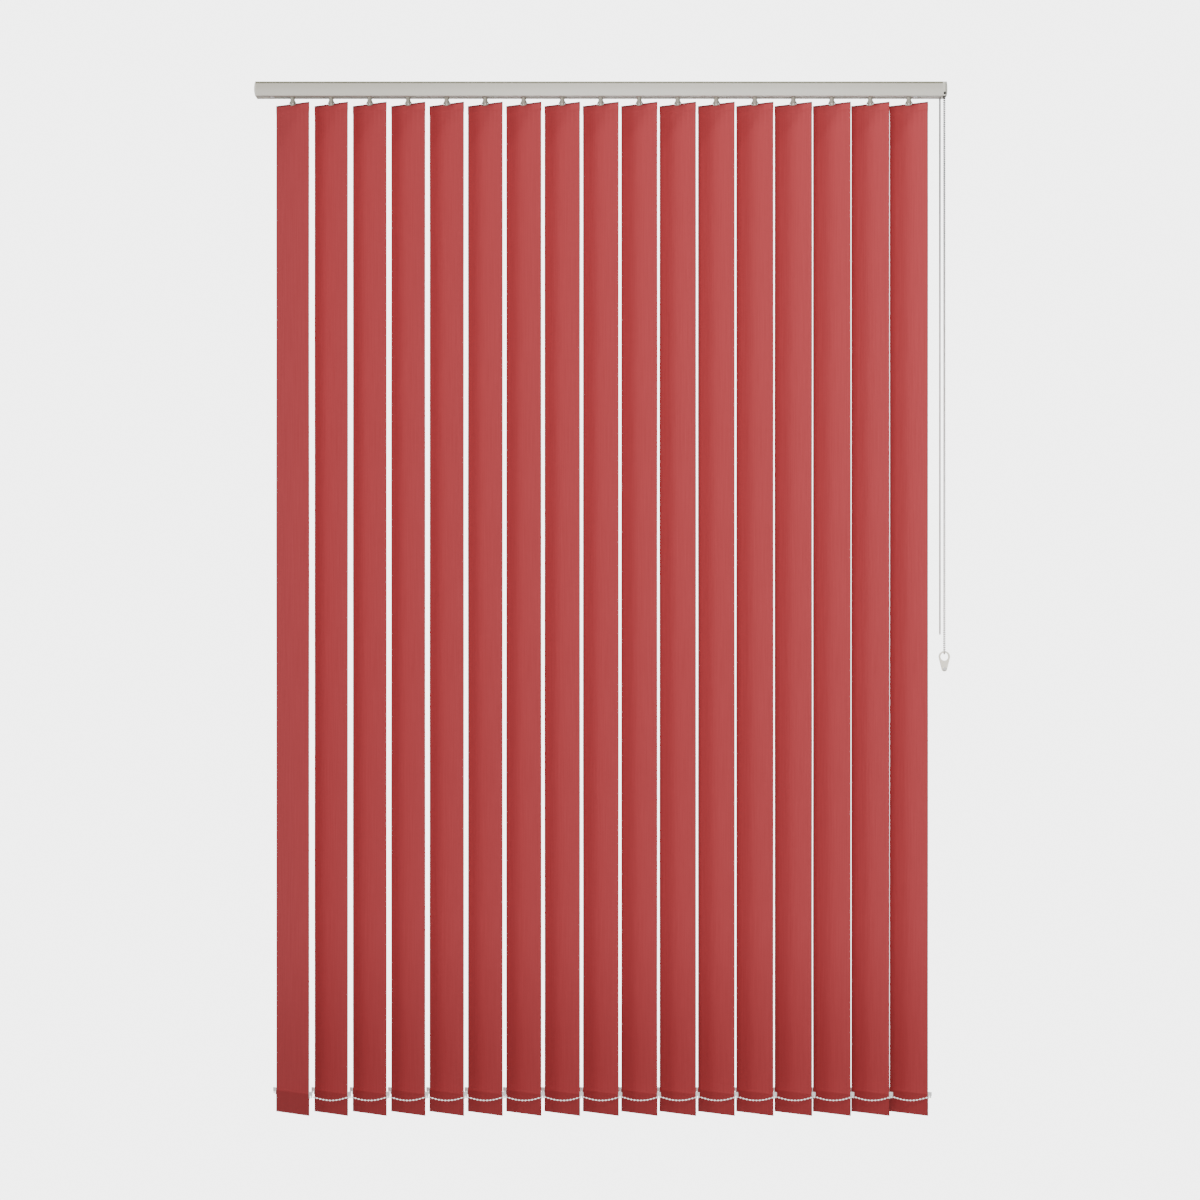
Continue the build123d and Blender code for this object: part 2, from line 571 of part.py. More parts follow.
for number in range(1, LOUVRE_COUNT + 1):
    pieces = [truck.part.solid(), worm.part.solid()]
    if number > 1:
        pieces.append(link.part.solid())
    place = Location((louvre_x(number), 0, 0))
    save(Compound(children=[piece.moved(place) for piece in pieces]), f"carrier_{number:02d}")

# ---- hook stem: worm gear, neck, collar and a fork with a peg for the hanger ----
PRONG_END = LOUVRE_TOP + SEAT_GAP
FORK_GAP = PLATE_THICK + 2 * SEAT_GAP
louvre_plane = Plane(origin=(0, 0, 0), x_dir=FACING, z_dir=ACROSS)
face_plane = Plane(origin=(0, 0, 0), x_dir=ACROSS, z_dir=-FACING)
with BuildPart() as stem:
    with BuildSketch(Plane.XY.offset(GEAR_BOTTOM)):
        Circle(GEAR_R)
    extrude(amount=GEAR_HEIGHT)
    with BuildSketch(Plane.XY.offset(GEAR_BOTTOM)):
        Circle(NECK_R)
    extrude(amount=-(GEAR_BOTTOM - RAIL_BOTTOM))
    with BuildSketch(Plane.XY.offset(RAIL_BOTTOM)):
        Circle(COLLAR_R)
    extrude(amount=-COLLAR_HEIGHT, taper=COLLAR_TAPER)
    for side in (-1, 1):
        with BuildSketch(face_plane.offset(side * (FORK_GAP + PRONG_THICK) / 2)):
            with BuildLine():
                Polyline(
                    (-PRONG_WIDTH / 2, FORK_TOP),
                    (-PRONG_WIDTH / 2, FORK_TOP - PRONG_NECK),
                    (-PRONG_FLARE / 2, PRONG_END),
                    (PRONG_FLARE / 2, PRONG_END),
                    (PRONG_WIDTH / 2, FORK_TOP - PRONG_NECK),
                    (PRONG_WIDTH / 2, FORK_TOP),
                    close=True,
                )
            prong = make_face()
            fillet(prong.vertices().group_by(Axis.Z)[0], PRONG_CORNER_R)
        extrude(amount=PRONG_THICK / 2, both=True)
    with BuildSketch(face_plane):
        with Locations((0, PEG_Z)):
            Circle(PEG_R)
    extrude(amount=FORK_GAP / 2, both=True)

# ---- hanger: a plate in the top pocket with a tapering tab that hangs on the peg ----
PLATE_TOP = LOUVRE_TOP - PLATE_DROP
TAB_CREST = PEG_Z + PEG_R + TAB_RIM
TAB_SHOULDER_Z = PEG_Z - TAB_SHOULDER
with BuildPart() as hanger:
    with BuildSketch(face_plane):
        with Locations((0, PLATE_TOP - PLATE_HEIGHT / 2)):
            Rectangle(PLATE_WIDTH, PLATE_HEIGHT)
        with BuildLine():
            Polyline(
                (-TAB_BASE / 2, PLATE_TOP - TAB_NOTCH),
                (-TAB_TOP / 2, TAB_SHOULDER_Z),
                (-TAB_TOP / 2, TAB_CREST),
                (TAB_TOP / 2, TAB_CREST),
                (TAB_TOP / 2, TAB_SHOULDER_Z),
                (TAB_BASE / 2, PLATE_TOP - TAB_NOTCH),
                close=True,
            )
        make_face()
        for side in (-1, 1):
            with Locations((side * (TAB_BASE + TAB_RELIEF) / 2, PLATE_TOP - TAB_NOTCH / 2)):
                Rectangle(TAB_RELIEF, TAB_NOTCH, mode=Mode.SUBTRACT)
        with Locations((0, PEG_Z)):
            Circle(PEG_R + SEAT_GAP, mode=Mode.SUBTRACT)
    extrude(amount=PLATE_THICK / 2, both=True)

# ---- fabric louvre: one strip, folded back and welded into a pocket at each end ----
WELD_TOP = LOUVRE_TOP - TOP_WELD
WELD_BOTTOM = LOUVRE_BOTTOM + BOTTOM_WELD
LAYER = FABRIC / 2


def pocket_outline(end, weld, inward, half, tip):
    """Points of one side of a pocket, from its folded end to where it closes."""
    bend = weld - inward * POCKET_TAPER
    return [(half, end + inward * half), (half, bend), (tip, weld)]


top_side = pocket_outline(LOUVRE_TOP, WELD_TOP, -1, POCKET_HALF, FABRIC)
bottom_side = pocket_outline(LOUVRE_BOTTOM, WELD_BOTTOM, 1, POCKET_HALF, FABRIC)
right_side = [
    *top_side,
    (FABRIC, WELD_TOP - WELD_TAIL),
    (LAYER, WELD_TOP - WELD_TAIL),
    (LAYER, WELD_BOTTOM + WELD_TAIL),
    (FABRIC, WELD_BOTTOM + WELD_TAIL),
    *reversed(bottom_side),
]
left_side = [(-v, z) for v, z in right_side]
with BuildPart() as fabric:
    with BuildSketch(louvre_plane):
        with BuildLine():
            Polyline(*right_side)
            Polyline(*left_side)
            ThreePointArc(left_side[0], (0, LOUVRE_TOP), right_side[0])
            ThreePointArc(left_side[-1], (0, LOUVRE_BOTTOM), right_side[-1])
        make_face()
        for end, weld, inward in (
            (LOUVRE_TOP - FABRIC, WELD_TOP, -1),
            (LOUVRE_BOTTOM + FABRIC, WELD_BOTTOM, 1),
        ):
            half = POCKET_CAVITY_HALF
            bend = weld - inward * POCKET_TAPER
            start = end + inward * half
            with BuildLine():
                Polyline((half, start), (half, bend), (0, weld), (-half, bend), (-half, start))
                ThreePointArc((-half, start), (0, end), (half, start))
            make_face(mode=Mode.SUBTRACT)
    extrude(amount=LOUVRE_WIDTH / 2, both=True)
    with BuildSketch(face_plane):
        with Locations((0, LOUVRE_TOP - TAB_NOTCH / 2)):
            Rectangle(TAB_BASE + 2 * NOTCH_SIDE, TAB_NOTCH)
    extrude(amount=POCKET_HALF + CUT_OVER, both=True, mode=Mode.SUBTRACT)

# ---- bottom weight, and the clip on each edge with its chain eye ----
EDGE = LOUVRE_WIDTH / 2 + FIT_GAP
TONGUE_Z = CLIP_FOOT + TONGUE_HEIGHT / 2
NOTCH_IN = TONGUE_LENGTH - POCKET_ROOM + SEAT_GAP
with BuildPart() as weight:
    with BuildSketch(face_plane):
        with Locations((0, LOUVRE_BOTTOM + FABRIC + SEAT_GAP + WEIGHT_HEIGHT / 2)):
            RectangleRounded(WEIGHT_WIDTH, WEIGHT_HEIGHT, WEIGHT_CORNER_R)
        for side in (-1, 1):
            with Locations((side * WEIGHT_WIDTH / 2, TONGUE_Z + SEAT_GAP)):
                Rectangle(2 * NOTCH_IN, TONGUE_HEIGHT + 4 * SEAT_GAP, mode=Mode.SUBTRACT)
    extrude(amount=WEIGHT_THICK / 2, both=True)


def edge_clip(side):
    """A clip whose tongue sits in the pocket's end; the chain snaps onto its pin outside."""
    body_height = CLIP_CREST - EYE_Z - CHAIN_D / 2 - SEAT_GAP
    with BuildPart() as clip:
        with BuildSketch(Plane.XY.offset(CLIP_CREST)):
            with Locations((side * (EDGE + CLIP_LENGTH / 2), 0)):
                RectangleRounded(CLIP_LENGTH, CLIP_THICK, CLIP_CORNER_R)
        extrude(amount=-body_height)
        with BuildSketch(Plane.XY.offset(CLIP_CREST - CLIP_ROOT)):
            with Locations((side * (EDGE + SPINE_LENGTH / 2), 0)):
                Rectangle(SPINE_LENGTH, SPINE_THICK)
        extrude(amount=CLIP_ROOT - CLIP_HEIGHT)
        with BuildSketch(Plane.XY.offset(CLIP_FOOT)):
            with Locations((side * (EDGE - (TONGUE_LENGTH - CLIP_ROOT) / 2), 0)):
                Rectangle(TONGUE_LENGTH + CLIP_ROOT, WEIGHT_THICK)
        extrude(amount=TONGUE_HEIGHT)
        with BuildSketch(Plane.XY.offset(CLIP_CREST - CLIP_ROOT)):
            with Locations((side * EYE_OUT, 0)):
                Circle(PIN_R)
        extrude(amount=-(CLIP_CREST - CLIP_ROOT - EYE_Z + PIN_FOOT))
    return clip.part.solid().rotate(Axis.Z, -LOUVRE_ANGLE)


near_clip = edge_clip(1)
far_clip = edge_clip(-1)
for number in range(1, LOUVRE_COUNT + 1):
    pieces = [stem.part.solid(), hanger.part.solid(), fabric.part.solid(), weight.part.solid(),
              near_clip, far_clip]
    place = Location((louvre_x(number), 0, 0))
    save(Compound(children=[piece.moved(place) for piece in pieces]), f"louvre_{number:02d}")

# ---- bottom chains: one swag from each clip's eye to the next ----
for name, side in (("bottom_chain_front", 1), ("bottom_chain_back", -1)):
    eye = ACROSS * (side * EYE_OUT)
    low_z = EYE_Z - CHAIN_SAG
    swag = tube(
        [
            (eye.X + EYE_SIDE, eye.Y, EYE_Z),
            (eye.X + LOUVRE_PITCH / 2 - CHAIN_HALF_FLAT, eye.Y, low_z),
            (eye.X + LOUVRE_PITCH / 2 + CHAIN_HALF_FLAT, eye.Y, low_z),
            (eye.X + LOUVRE_PITCH - EYE_SIDE, eye.Y, EYE_Z),
        ],
        CHAIN_D,
    )
    places = [Location((louvre_x(number), 0, 0)) for number in range(1, LOUVRE_COUNT)]
    save(Compound(children=[swag.part.solid().moved(place) for place in places]), name)

# ---- draw cord: two runs along the rail round the return pulley, then the hanging loop ----
with BuildPart() as rail_cord:
    with BuildLine() as rail_route:
        ThreePointArc(
            (RETURN_X, CORD_FRONT_Y, CORD_Z),
            (RETURN_X - RETURN_R, RETURN_Y, CORD_Z),
            (RETURN_X, CORD_BACK_Y, CORD_Z),
        )
        Line((RETURN_X, CORD_FRONT_Y, CORD_Z), (GUIDE_X, CORD_FRONT_Y, CORD_Z))
        Line((RETURN_X, CORD_BACK_Y, CORD_Z), (GUIDE_X, CORD_BACK_Y, CORD_Z))
    with BuildSketch(Plane.YZ.offset(GUIDE_X)):
        with Locations((CORD_FRONT_Y, CORD_Z)):
            Circle(CORD_D / 2)
    sweep(path=rail_route.wires()[0])
save(rail_cord.part, "rail_cord")

GUIDE_BEND = GUIDE_R - BEND_RELIEF
BIGHT_BEND = 2 * BEND_SHARE * RETURN_R
with BuildPart() as draw_cord:
    with BuildLine() as loop_route:
        FilletPolyline(
            (GUIDE_X, CORD_FRONT_Y, CORD_Z),
            (CORD_X, CORD_FRONT_Y, CORD_Z),
            (CORD_X, CORD_FRONT_Y, CORD_LOW),
            (CORD_X, CORD_BACK_Y, CORD_LOW),
            (CORD_X, CORD_BACK_Y, CORD_Z),
            (GUIDE_X, CORD_BACK_Y, CORD_Z),
            radius=[GUIDE_BEND, BIGHT_BEND, BIGHT_BEND, GUIDE_BEND],
        )
    with BuildSketch(Plane((GUIDE_X, CORD_FRONT_Y, CORD_Z), z_dir=(1, 0, 0))):
        Circle(CORD_D / 2)
    sweep(path=loop_route.wires()[0])
save(draw_cord.part, "draw_cord")

# ---- tilt chain: over the wheel, down the front, round the bight and up the back ----
WHEEL_TOP = ROD_Z + WHEEL_R
WHEEL_ARC = WHEEL_R - 2 * FIT_GAP
with BuildPart() as tilt_chain:
    with BuildLine() as chain_route:
        FilletPolyline(
            (WHEEL_X, ROD_Y - FIT_GAP, WHEEL_TOP),
            (WHEEL_X, CHAIN_FRONT_Y, WHEEL_TOP),
            (WHEEL_X, CHAIN_FRONT_Y, CHAIN_LOW),
            (WHEEL_X, CHAIN_BACK_Y, CHAIN_LOW),
            (WHEEL_X, CHAIN_BACK_Y, WHEEL_TOP),
            (WHEEL_X, ROD_Y + FIT_GAP, WHEEL_TOP),
            radius=[WHEEL_ARC, CHAIN_BEND * WHEEL_R, CHAIN_BEND * WHEEL_R, WHEEL_ARC],
        )
    with BuildSketch(Plane((WHEEL_X, ROD_Y - FIT_GAP, WHEEL_TOP), z_dir=(0, -1, 0))):
        Circle(BALL_D / 2)
    sweep(path=chain_route.wires()[0])
save(tilt_chain.part, "tilt_chain")

# ---- safety clip: a teardrop band that hangs on the chain's bight, with a screw tab ----
SAFETY_Z = CHAIN_LOW + BALL_D / 2 + SAFETY_PLAY + SAFETY_BAND - SAFETY_R
TAB_Z = SAFETY_Z + SAFETY_R - SAFETY_TAB_DROP + SAFETY_TAB_R
INNER_R = SAFETY_R - SAFETY_BAND
safety_plane = Plane.XZ.offset(-ROD_Y)
with BuildPart() as safety_clip:
    with BuildSketch(safety_plane):
        with Locations((WHEEL_X, SAFETY_Z)):
            Circle(SAFETY_R)
        with Locations((WHEEL_X, TAB_Z)):
            Circle(SAFETY_TAB_R)
        make_hull()
        with Locations((WHEEL_X, SAFETY_Z)):
            Circle(INNER_R, mode=Mode.SUBTRACT)
    extrude(amount=SAFETY_WIDTH / 2, both=True)
    with BuildSketch(safety_plane):
        with Locations((WHEEL_X, TAB_Z)):
            Circle(SAFETY_HOLE_R)
    extrude(amount=SAFETY_WIDTH, both=True, mode=Mode.SUBTRACT)
save(safety_clip.part, "chain_safety_clip")

with BuildPart() as safety_screw:
    with BuildSketch(safety_plane.offset(SAFETY_WIDTH / 2 + FIT_GAP)):
        with Locations((WHEEL_X, TAB_Z)):
            Circle(SAFETY_HEAD_R)
    extrude(amount=SAFETY_HEAD_HEIGHT)
    fillet(safety_screw.edges().sort_by(Axis.Y)[0], SAFETY_HEAD_ROUND)
    with BuildSketch(safety_plane.offset(SAFETY_WIDTH / 2 + FIT_GAP)):
        with Locations((WHEEL_X, TAB_Z)):
            Circle(SAFETY_HOLE_R - SEAT_GAP)
    extrude(amount=-SAFETY_SCREW_LENGTH)
save(safety_screw.part, "safety_clip_screw")
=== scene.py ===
import bpy
import bmesh
import json
import math
from mathutils import Matrix, Vector, noise


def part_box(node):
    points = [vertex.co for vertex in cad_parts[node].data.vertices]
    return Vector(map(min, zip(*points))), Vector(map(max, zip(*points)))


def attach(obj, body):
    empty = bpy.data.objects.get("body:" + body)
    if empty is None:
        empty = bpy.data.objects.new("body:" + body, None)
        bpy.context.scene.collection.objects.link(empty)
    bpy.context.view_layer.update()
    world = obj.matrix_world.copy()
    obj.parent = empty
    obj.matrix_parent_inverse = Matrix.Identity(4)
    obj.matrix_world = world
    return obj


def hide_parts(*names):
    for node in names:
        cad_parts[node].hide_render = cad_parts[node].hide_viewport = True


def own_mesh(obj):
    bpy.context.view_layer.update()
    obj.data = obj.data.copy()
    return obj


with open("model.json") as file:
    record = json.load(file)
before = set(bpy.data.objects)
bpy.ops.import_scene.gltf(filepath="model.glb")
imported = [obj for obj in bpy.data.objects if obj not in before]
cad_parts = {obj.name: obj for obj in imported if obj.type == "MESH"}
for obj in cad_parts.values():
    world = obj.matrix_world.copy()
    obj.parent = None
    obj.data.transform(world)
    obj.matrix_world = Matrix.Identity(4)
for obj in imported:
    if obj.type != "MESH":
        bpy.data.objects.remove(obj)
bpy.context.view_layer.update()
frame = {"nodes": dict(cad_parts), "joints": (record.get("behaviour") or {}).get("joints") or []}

JOINTS = {joint["name"]: joint for joint in frame["joints"]}

# ---- sizes of the blind, in metres ----
LOUVRES = 17
LOUVRE_WIDTH = 0.089
EDGE = LOUVRE_WIDTH / 2
LOUVRE_LENGTH = 2.0455
LOUVRE_PITCH = 0.078
LOUVRE_ANGLE = math.radians(36)
FABRIC = 0.0004
TOP_WELD = 0.018
BOTTOM_WELD = 0.047
WELD_TAIL = 0.002
POCKET_TAPER = 0.003
POCKET_BULGE = 0.0008
NOTCH_HALF = 0.0074
NOTCH_DEPTH = 0.0036
FABRIC_WAVE = 0.0007

# ---- hanger and hook ----
PLATE_HALF = 0.0425
PLATE_HEIGHT = 0.011
PLATE_CORNER = 0.001
PLATE_NOTCH_HALF = 0.0104
TAB_HALF = 0.0080
TAB_R = 0.0028
TAB_HOLE_R = 0.0017
PEG_DROP = 0.0071
PEG_R = 0.0014
PEG_LENGTH = 0.0022
PRONG_OFFSET = 0.0014
GEAR_DROP = 0.0145
GEAR_R = 0.0037
GEAR_HALF_HEIGHT = 0.0023
NECK_R = 0.0025
COLLAR_R = 0.0050

# ---- weight and edge clips ----
WEIGHT_WIDTH = 0.085
WEIGHT_HEIGHT = 0.039
WEIGHT_SEAT = 0.0007
CLIP_RISE = 0.0018
CLIP_HEIGHT = 0.014
CLIP_GRIP = 0.0078
EYE_DROP = 0.0096
EYE_REACH = 0.006
PIN_R = 0.0012
PIN_BELOW_EYE = 0.0024
BODY_ABOVE_EYE = 0.00175

# ---- cords and chains ----
CORD_R = 0.001
BALL_PITCH = 0.0044
BALL_D = 0.0032
LINK_R = 0.0005
WHEEL_BALLS = 12
BEAD_PITCH = 0.0066
BEAD_LENGTH = 0.0042
BEAD_R = 0.00145
CORE_R = 0.00035

# ---- heights and ends, read from the frame ----
LOUVRE_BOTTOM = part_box("louvre_01")[0][2]
LOUVRE_TOP = LOUVRE_BOTTOM + LOUVRE_LENGTH
RAIL_BOTTOM, RAIL_TOP = (corner[2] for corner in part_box("headrail"))
RAIL_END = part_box("end_cap_right")[1][0]


# ---------------------------------------------------------------- materials
def material(name, color, roughness=0.5, metallic=0.0, **sockets):
    """A Principled material; further sockets are given by name with _ for spaces."""
    made = bpy.data.materials.new(name)
    made.use_nodes = True
    shader = made.node_tree.nodes["Principled BSDF"]
    shader.inputs["Base Color"].default_value = (*color, 1)
    shader.inputs["Roughness"].default_value = roughness
    shader.inputs["Metallic"].default_value = metallic
    for key, value in sockets.items():
        shader.inputs[key.replace("_", " ")].default_value = value
    return made


def add(tree, kind, **inputs):
    """A node with its input values set by name."""
    node = tree.nodes.new(kind)
    for key, value in inputs.items():
        node.inputs[key.replace("_", " ")].default_value = value
    return node


def coordinates(tree, scale=(1, 1, 1)):
    """Object coordinates in metres, stretched by scale."""
    place = tree.nodes.new("ShaderNodeTexCoord")
    mapping = add(tree, "ShaderNodeMapping", Scale=scale)
    tree.links.new(place.outputs["Object"], mapping.inputs["Vector"])
    return mapping.outputs["Vector"]


def vary_color(made, low, high, scale, detail=3.0, stretch=(1, 1, 1), spread=(0.35, 0.65)):
    """Base colour drifts between two tones with a noise."""
    tree = made.node_tree
    shader = tree.nodes["Principled BSDF"]
    spots = add(tree, "ShaderNodeTexNoise", Scale=scale, Detail=detail)
    tree.links.new(coordinates(tree, stretch), spots.inputs["Vector"])
    ramp = tree.nodes.new("ShaderNodeValToRGB")
    ramp.color_ramp.elements[0].position = spread[0]
    ramp.color_ramp.elements[1].position = spread[1]
    ramp.color_ramp.elements[0].color = (*low, 1)
    ramp.color_ramp.elements[1].color = (*high, 1)
    tree.links.new(spots.outputs["Fac"], ramp.inputs["Fac"])
    tree.links.new(ramp.outputs["Color"], shader.inputs["Base Color"])


def vary_roughness(made, low, high, scale, stretch=(1, 1, 1)):
    """Roughness drifts between two values with a noise."""
    tree = made.node_tree
    spots = add(tree, "ShaderNodeTexNoise", Scale=scale, Detail=4.0)
    tree.links.new(coordinates(tree, stretch), spots.inputs["Vector"])
    span = add(tree, "ShaderNodeMapRange", To_Min=low, To_Max=high)
    tree.links.new(spots.outputs["Fac"], span.inputs["Value"])
    tree.links.new(span.outputs["Result"], tree.nodes["Principled BSDF"].inputs["Roughness"])


def bump(made, height, strength, distance):
    """A bump from a height output."""
    tree = made.node_tree
    node = add(tree, "ShaderNodeBump", Strength=strength, Distance=distance)
    tree.links.new(height, node.inputs["Height"])
    tree.links.new(node.outputs["Normal"], tree.nodes["Principled BSDF"].inputs["Normal"])


def noise_bump(made, scale, strength, distance, stretch=(1, 1, 1), detail=2.0):
    """A fine noise relief."""
    tree = made.node_tree
    grain = add(tree, "ShaderNodeTexNoise", Scale=scale, Detail=detail)
    tree.links.new(coordinates(tree, stretch), grain.inputs["Vector"])
    bump(made, grain.outputs["Fac"], strength, distance)


def tint_band(made, axis, start, end, color, both_sides=False):
    """Multiply the base colour by a tone: not before start, fully past end, in metres on an object axis."""
    tree = made.node_tree
    place = tree.nodes.new("ShaderNodeTexCoord")
    parts = tree.nodes.new("ShaderNodeSeparateXYZ")
    tree.links.new(place.outputs["Object"], parts.inputs["Vector"])
    value = parts.outputs[axis]
    if both_sides:
        size = tree.nodes.new("ShaderNodeMath")
        size.operation = "ABSOLUTE"
        tree.links.new(value, size.inputs[0])
        value = size.outputs["Value"]
    ramp = add(tree, "ShaderNodeMapRange", From_Min=start, From_Max=end)
    ramp.interpolation_type = "SMOOTHSTEP"
    tree.links.new(value, ramp.inputs["Value"])
    mix = tree.nodes.new("ShaderNodeMix")
    mix.data_type = "RGBA"
    mix.blend_type = "MULTIPLY"
    first, second = [socket for socket in mix.inputs if socket.type == "RGBA"]
    target = tree.nodes["Principled BSDF"].inputs["Base Color"]
    tree.links.new(target.links[0].from_socket, first)
    second.default_value = (*color, 1)
    tree.links.new(ramp.outputs["Result"], mix.inputs[0])
    tree.links.new([socket for socket in mix.outputs if socket.type == "RGBA"][0], target)


def weave_material(name, dark, light):
    """Coated plain weave: warp ribs down the louvre, finer weft, soft streaks and a pale sheen."""
    made = material(name, light, 0.62, Specular_IOR_Level=0.35, Sheen_Weight=0.12, Sheen_Roughness=0.5)
    shader = made.node_tree.nodes["Principled BSDF"]
    shader.inputs["Sheen Tint"].default_value = (1.0, 0.85, 0.85, 1)
    tree = made.node_tree
    streaks = add(tree, "ShaderNodeTexNoise", Scale=1.0, Detail=5.0, Roughness=0.65)
    tree.links.new(coordinates(tree, (420, 420, 9)), streaks.inputs["Vector"])
    ramp = tree.nodes.new("ShaderNodeValToRGB")
    ramp.color_ramp.elements[0].position = 0.25
    ramp.color_ramp.elements[1].position = 0.75
    ramp.color_ramp.elements[0].color = (*dark, 1)
    ramp.color_ramp.elements[1].color = (*light, 1)
    tree.links.new(streaks.outputs["Fac"], ramp.inputs["Fac"])
    tree.links.new(ramp.outputs["Color"], shader.inputs["Base Color"])
    warp = add(tree, "ShaderNodeTexWave", Scale=1.0, Distortion=0.6, Detail=2.0)
    warp.bands_direction = "X"
    tree.links.new(coordinates(tree, (420, 420, 12)), warp.inputs["Vector"])
    weft = add(tree, "ShaderNodeTexWave", Scale=1.0, Distortion=0.6, Detail=2.0)
    weft.bands_direction = "Z"
    tree.links.new(coordinates(tree, (12, 12, 520)), weft.inputs["Vector"])
    both = tree.nodes.new("ShaderNodeMath")
    both.operation = "MULTIPLY_ADD"
    both.inputs[1].default_value = 0.6
    tree.links.new(weft.outputs["Fac"], both.inputs[0])
    tree.links.new(warp.outputs["Fac"], both.inputs[2])
    bump(made, both.outputs["Value"], 0.22, 0.00012)
    return made


FABRIC_RED = weave_material("louvre_weave", (0.385, 0.037, 0.042), (0.455, 0.050, 0.057))
# painted shade: the long cut edges of each louvre are darkened, as the fabric's thickness in shadow
tint_band(FABRIC_RED, "X", EDGE - 0.0016, EDGE - 0.0004, (0.80, 0.35, 0.35), both_sides=True)
# painted shade: the top few millimetres of each louvre are darkened, as if shaded by the fold and the rail
tint_band(FABRIC_RED, "Z", LOUVRE_TOP - 0.0042, LOUVRE_TOP - 0.0016, (0.30, 0.26, 0.26))
# painted shade: the bottom pocket below the weld line is darkened
tint_band(FABRIC_RED, "Z", LOUVRE_BOTTOM + 0.0455, LOUVRE_BOTTOM + 0.0425, (0.80, 0.66, 0.66))
# painted shade: the louvres grow darker towards the bottom
tint_band(FABRIC_RED, "Z", LOUVRE_BOTTOM + 0.42, LOUVRE_BOTTOM + 0.03, (0.82, 0.66, 0.66))

RAIL_COAT = material("rail_coat", (0.63, 0.605, 0.53), 0.42, Specular_IOR_Level=0.5)
vary_color(RAIL_COAT, (0.62, 0.595, 0.52), (0.65, 0.625, 0.56), 9.0, stretch=(0.4, 1, 1))
noise_bump(RAIL_COAT, 900.0, 0.12, 0.0001)
# painted shade: a dark band along the top edge of the rail, standing in for a shaded groove
tint_band(RAIL_COAT, "Z", RAIL_TOP - 0.0042, RAIL_TOP - 0.0030, (0.42, 0.43, 0.34))
# painted shade: the upper part of the rail face is darker than the lower part
tint_band(RAIL_COAT, "Z", RAIL_TOP - 0.022, RAIL_TOP - 0.008, (0.86, 0.86, 0.84))
# painted shade: the rail grows darker towards its left end
tint_band(RAIL_COAT, "X", 0.2, -0.7, (0.86, 0.85, 0.83))

CAP_PLASTIC = material("cap_plastic", (0.65, 0.63, 0.55), 0.48)
vary_color(CAP_PLASTIC, (0.635, 0.615, 0.53), (0.67, 0.65, 0.575), 40.0)
noise_bump(CAP_PLASTIC, 1400.0, 0.15, 0.0001)
# painted shade: the outer end of the right end cap is darkened, as on a face turned away from the light
tint_band(CAP_PLASTIC, "X", RAIL_END - 0.0065, RAIL_END - 0.003, (0.62, 0.63, 0.62))

WHITE_PLASTIC = material("white_plastic", (0.88, 0.88, 0.86), 0.38)
vary_color(WHITE_PLASTIC, (0.86, 0.86, 0.84), (0.91, 0.91, 0.89), 60.0)
noise_bump(WHITE_PLASTIC, 1500.0, 0.12, 0.0001)

HOOK_PLASTIC = material("hook_plastic", (0.46, 0.44, 0.37), 0.4)
vary_color(HOOK_PLASTIC, (0.42, 0.40, 0.33), (0.50, 0.48, 0.41), 120.0)
noise_bump(HOOK_PLASTIC, 1600.0, 0.15, 0.0001)
tint_band(HOOK_PLASTIC, "X", 0.0018, 0.0056, (0.45, 0.45, 0.41), both_sides=True)

TRUCK_PLASTIC = material("truck_plastic", (0.50, 0.48, 0.42), 0.45)
vary_color(TRUCK_PLASTIC, (0.46, 0.44, 0.38), (0.54, 0.52, 0.46), 80.0)
noise_bump(TRUCK_PLASTIC, 1500.0, 0.15, 0.0001)

# painted glow: the ivory plastic emits light so the safety clip reads paler
IVORY_PLASTIC_PAINTED_GLOW = material("ivory_plastic", (0.86, 0.81, 0.68), 0.32, Emission_Strength=0.3)
IVORY_PLASTIC_PAINTED_GLOW.node_tree.nodes["Principled BSDF"].inputs["Emission Color"].default_value = (1.0, 0.94, 0.8, 1)
vary_color(IVORY_PLASTIC_PAINTED_GLOW, (0.84, 0.78, 0.64), (0.88, 0.84, 0.73), 90.0)
noise_bump(IVORY_PLASTIC_PAINTED_GLOW, 1200.0, 0.12, 0.0001)

# painted glow: the bead plastic emits light so the bottom chain beads read white
BEAD_PLASTIC_PAINTED_GLOW = material("bead_plastic", (0.93, 0.93, 0.92), 0.25, Emission_Strength=0.45)
vary_color(BEAD_PLASTIC_PAINTED_GLOW, (0.91, 0.91, 0.90), (0.95, 0.95, 0.94), 50.0)

STEEL = material("zinc_steel", (0.62, 0.62, 0.60), 0.35, 1.0)
vary_color(STEEL, (0.52, 0.52, 0.50), (0.70, 0.70, 0.68), 150.0)
vary_roughness(STEEL, 0.28, 0.5, 90.0)

ROD_METAL = material("rod_metal", (0.78, 0.78, 0.79), 0.3, 1.0)
vary_color(ROD_METAL, (0.72, 0.72, 0.73), (0.82, 0.82, 0.83), 30.0, stretch=(0.1, 1, 1))
vary_roughness(ROD_METAL, 0.24, 0.42, 60.0, stretch=(0.1, 1, 1))

NICKEL = material("nickel_chain", (0.66, 0.65, 0.62), 0.26, 1.0)
vary_color(NICKEL, (0.60, 0.59, 0.56), (0.72, 0.71, 0.68), 200.0)
vary_roughness(NICKEL, 0.2, 0.38, 120.0)
# painted shade and dark reflection: the chain grows darker towards the top, near the rail
tint_band(NICKEL, "Z", -0.6, -0.15, (0.10, 0.10, 0.10))

CORD = material("braided_cord", (0.74, 0.73, 0.69), 0.7, Sheen_Weight=0.2)
vary_color(CORD, (0.66, 0.65, 0.61), (0.80, 0.79, 0.75), 700.0, stretch=(1, 1, 0.5))
noise_bump(CORD, 1500.0, 0.5, 0.0003, stretch=(1, 1, 0.6))
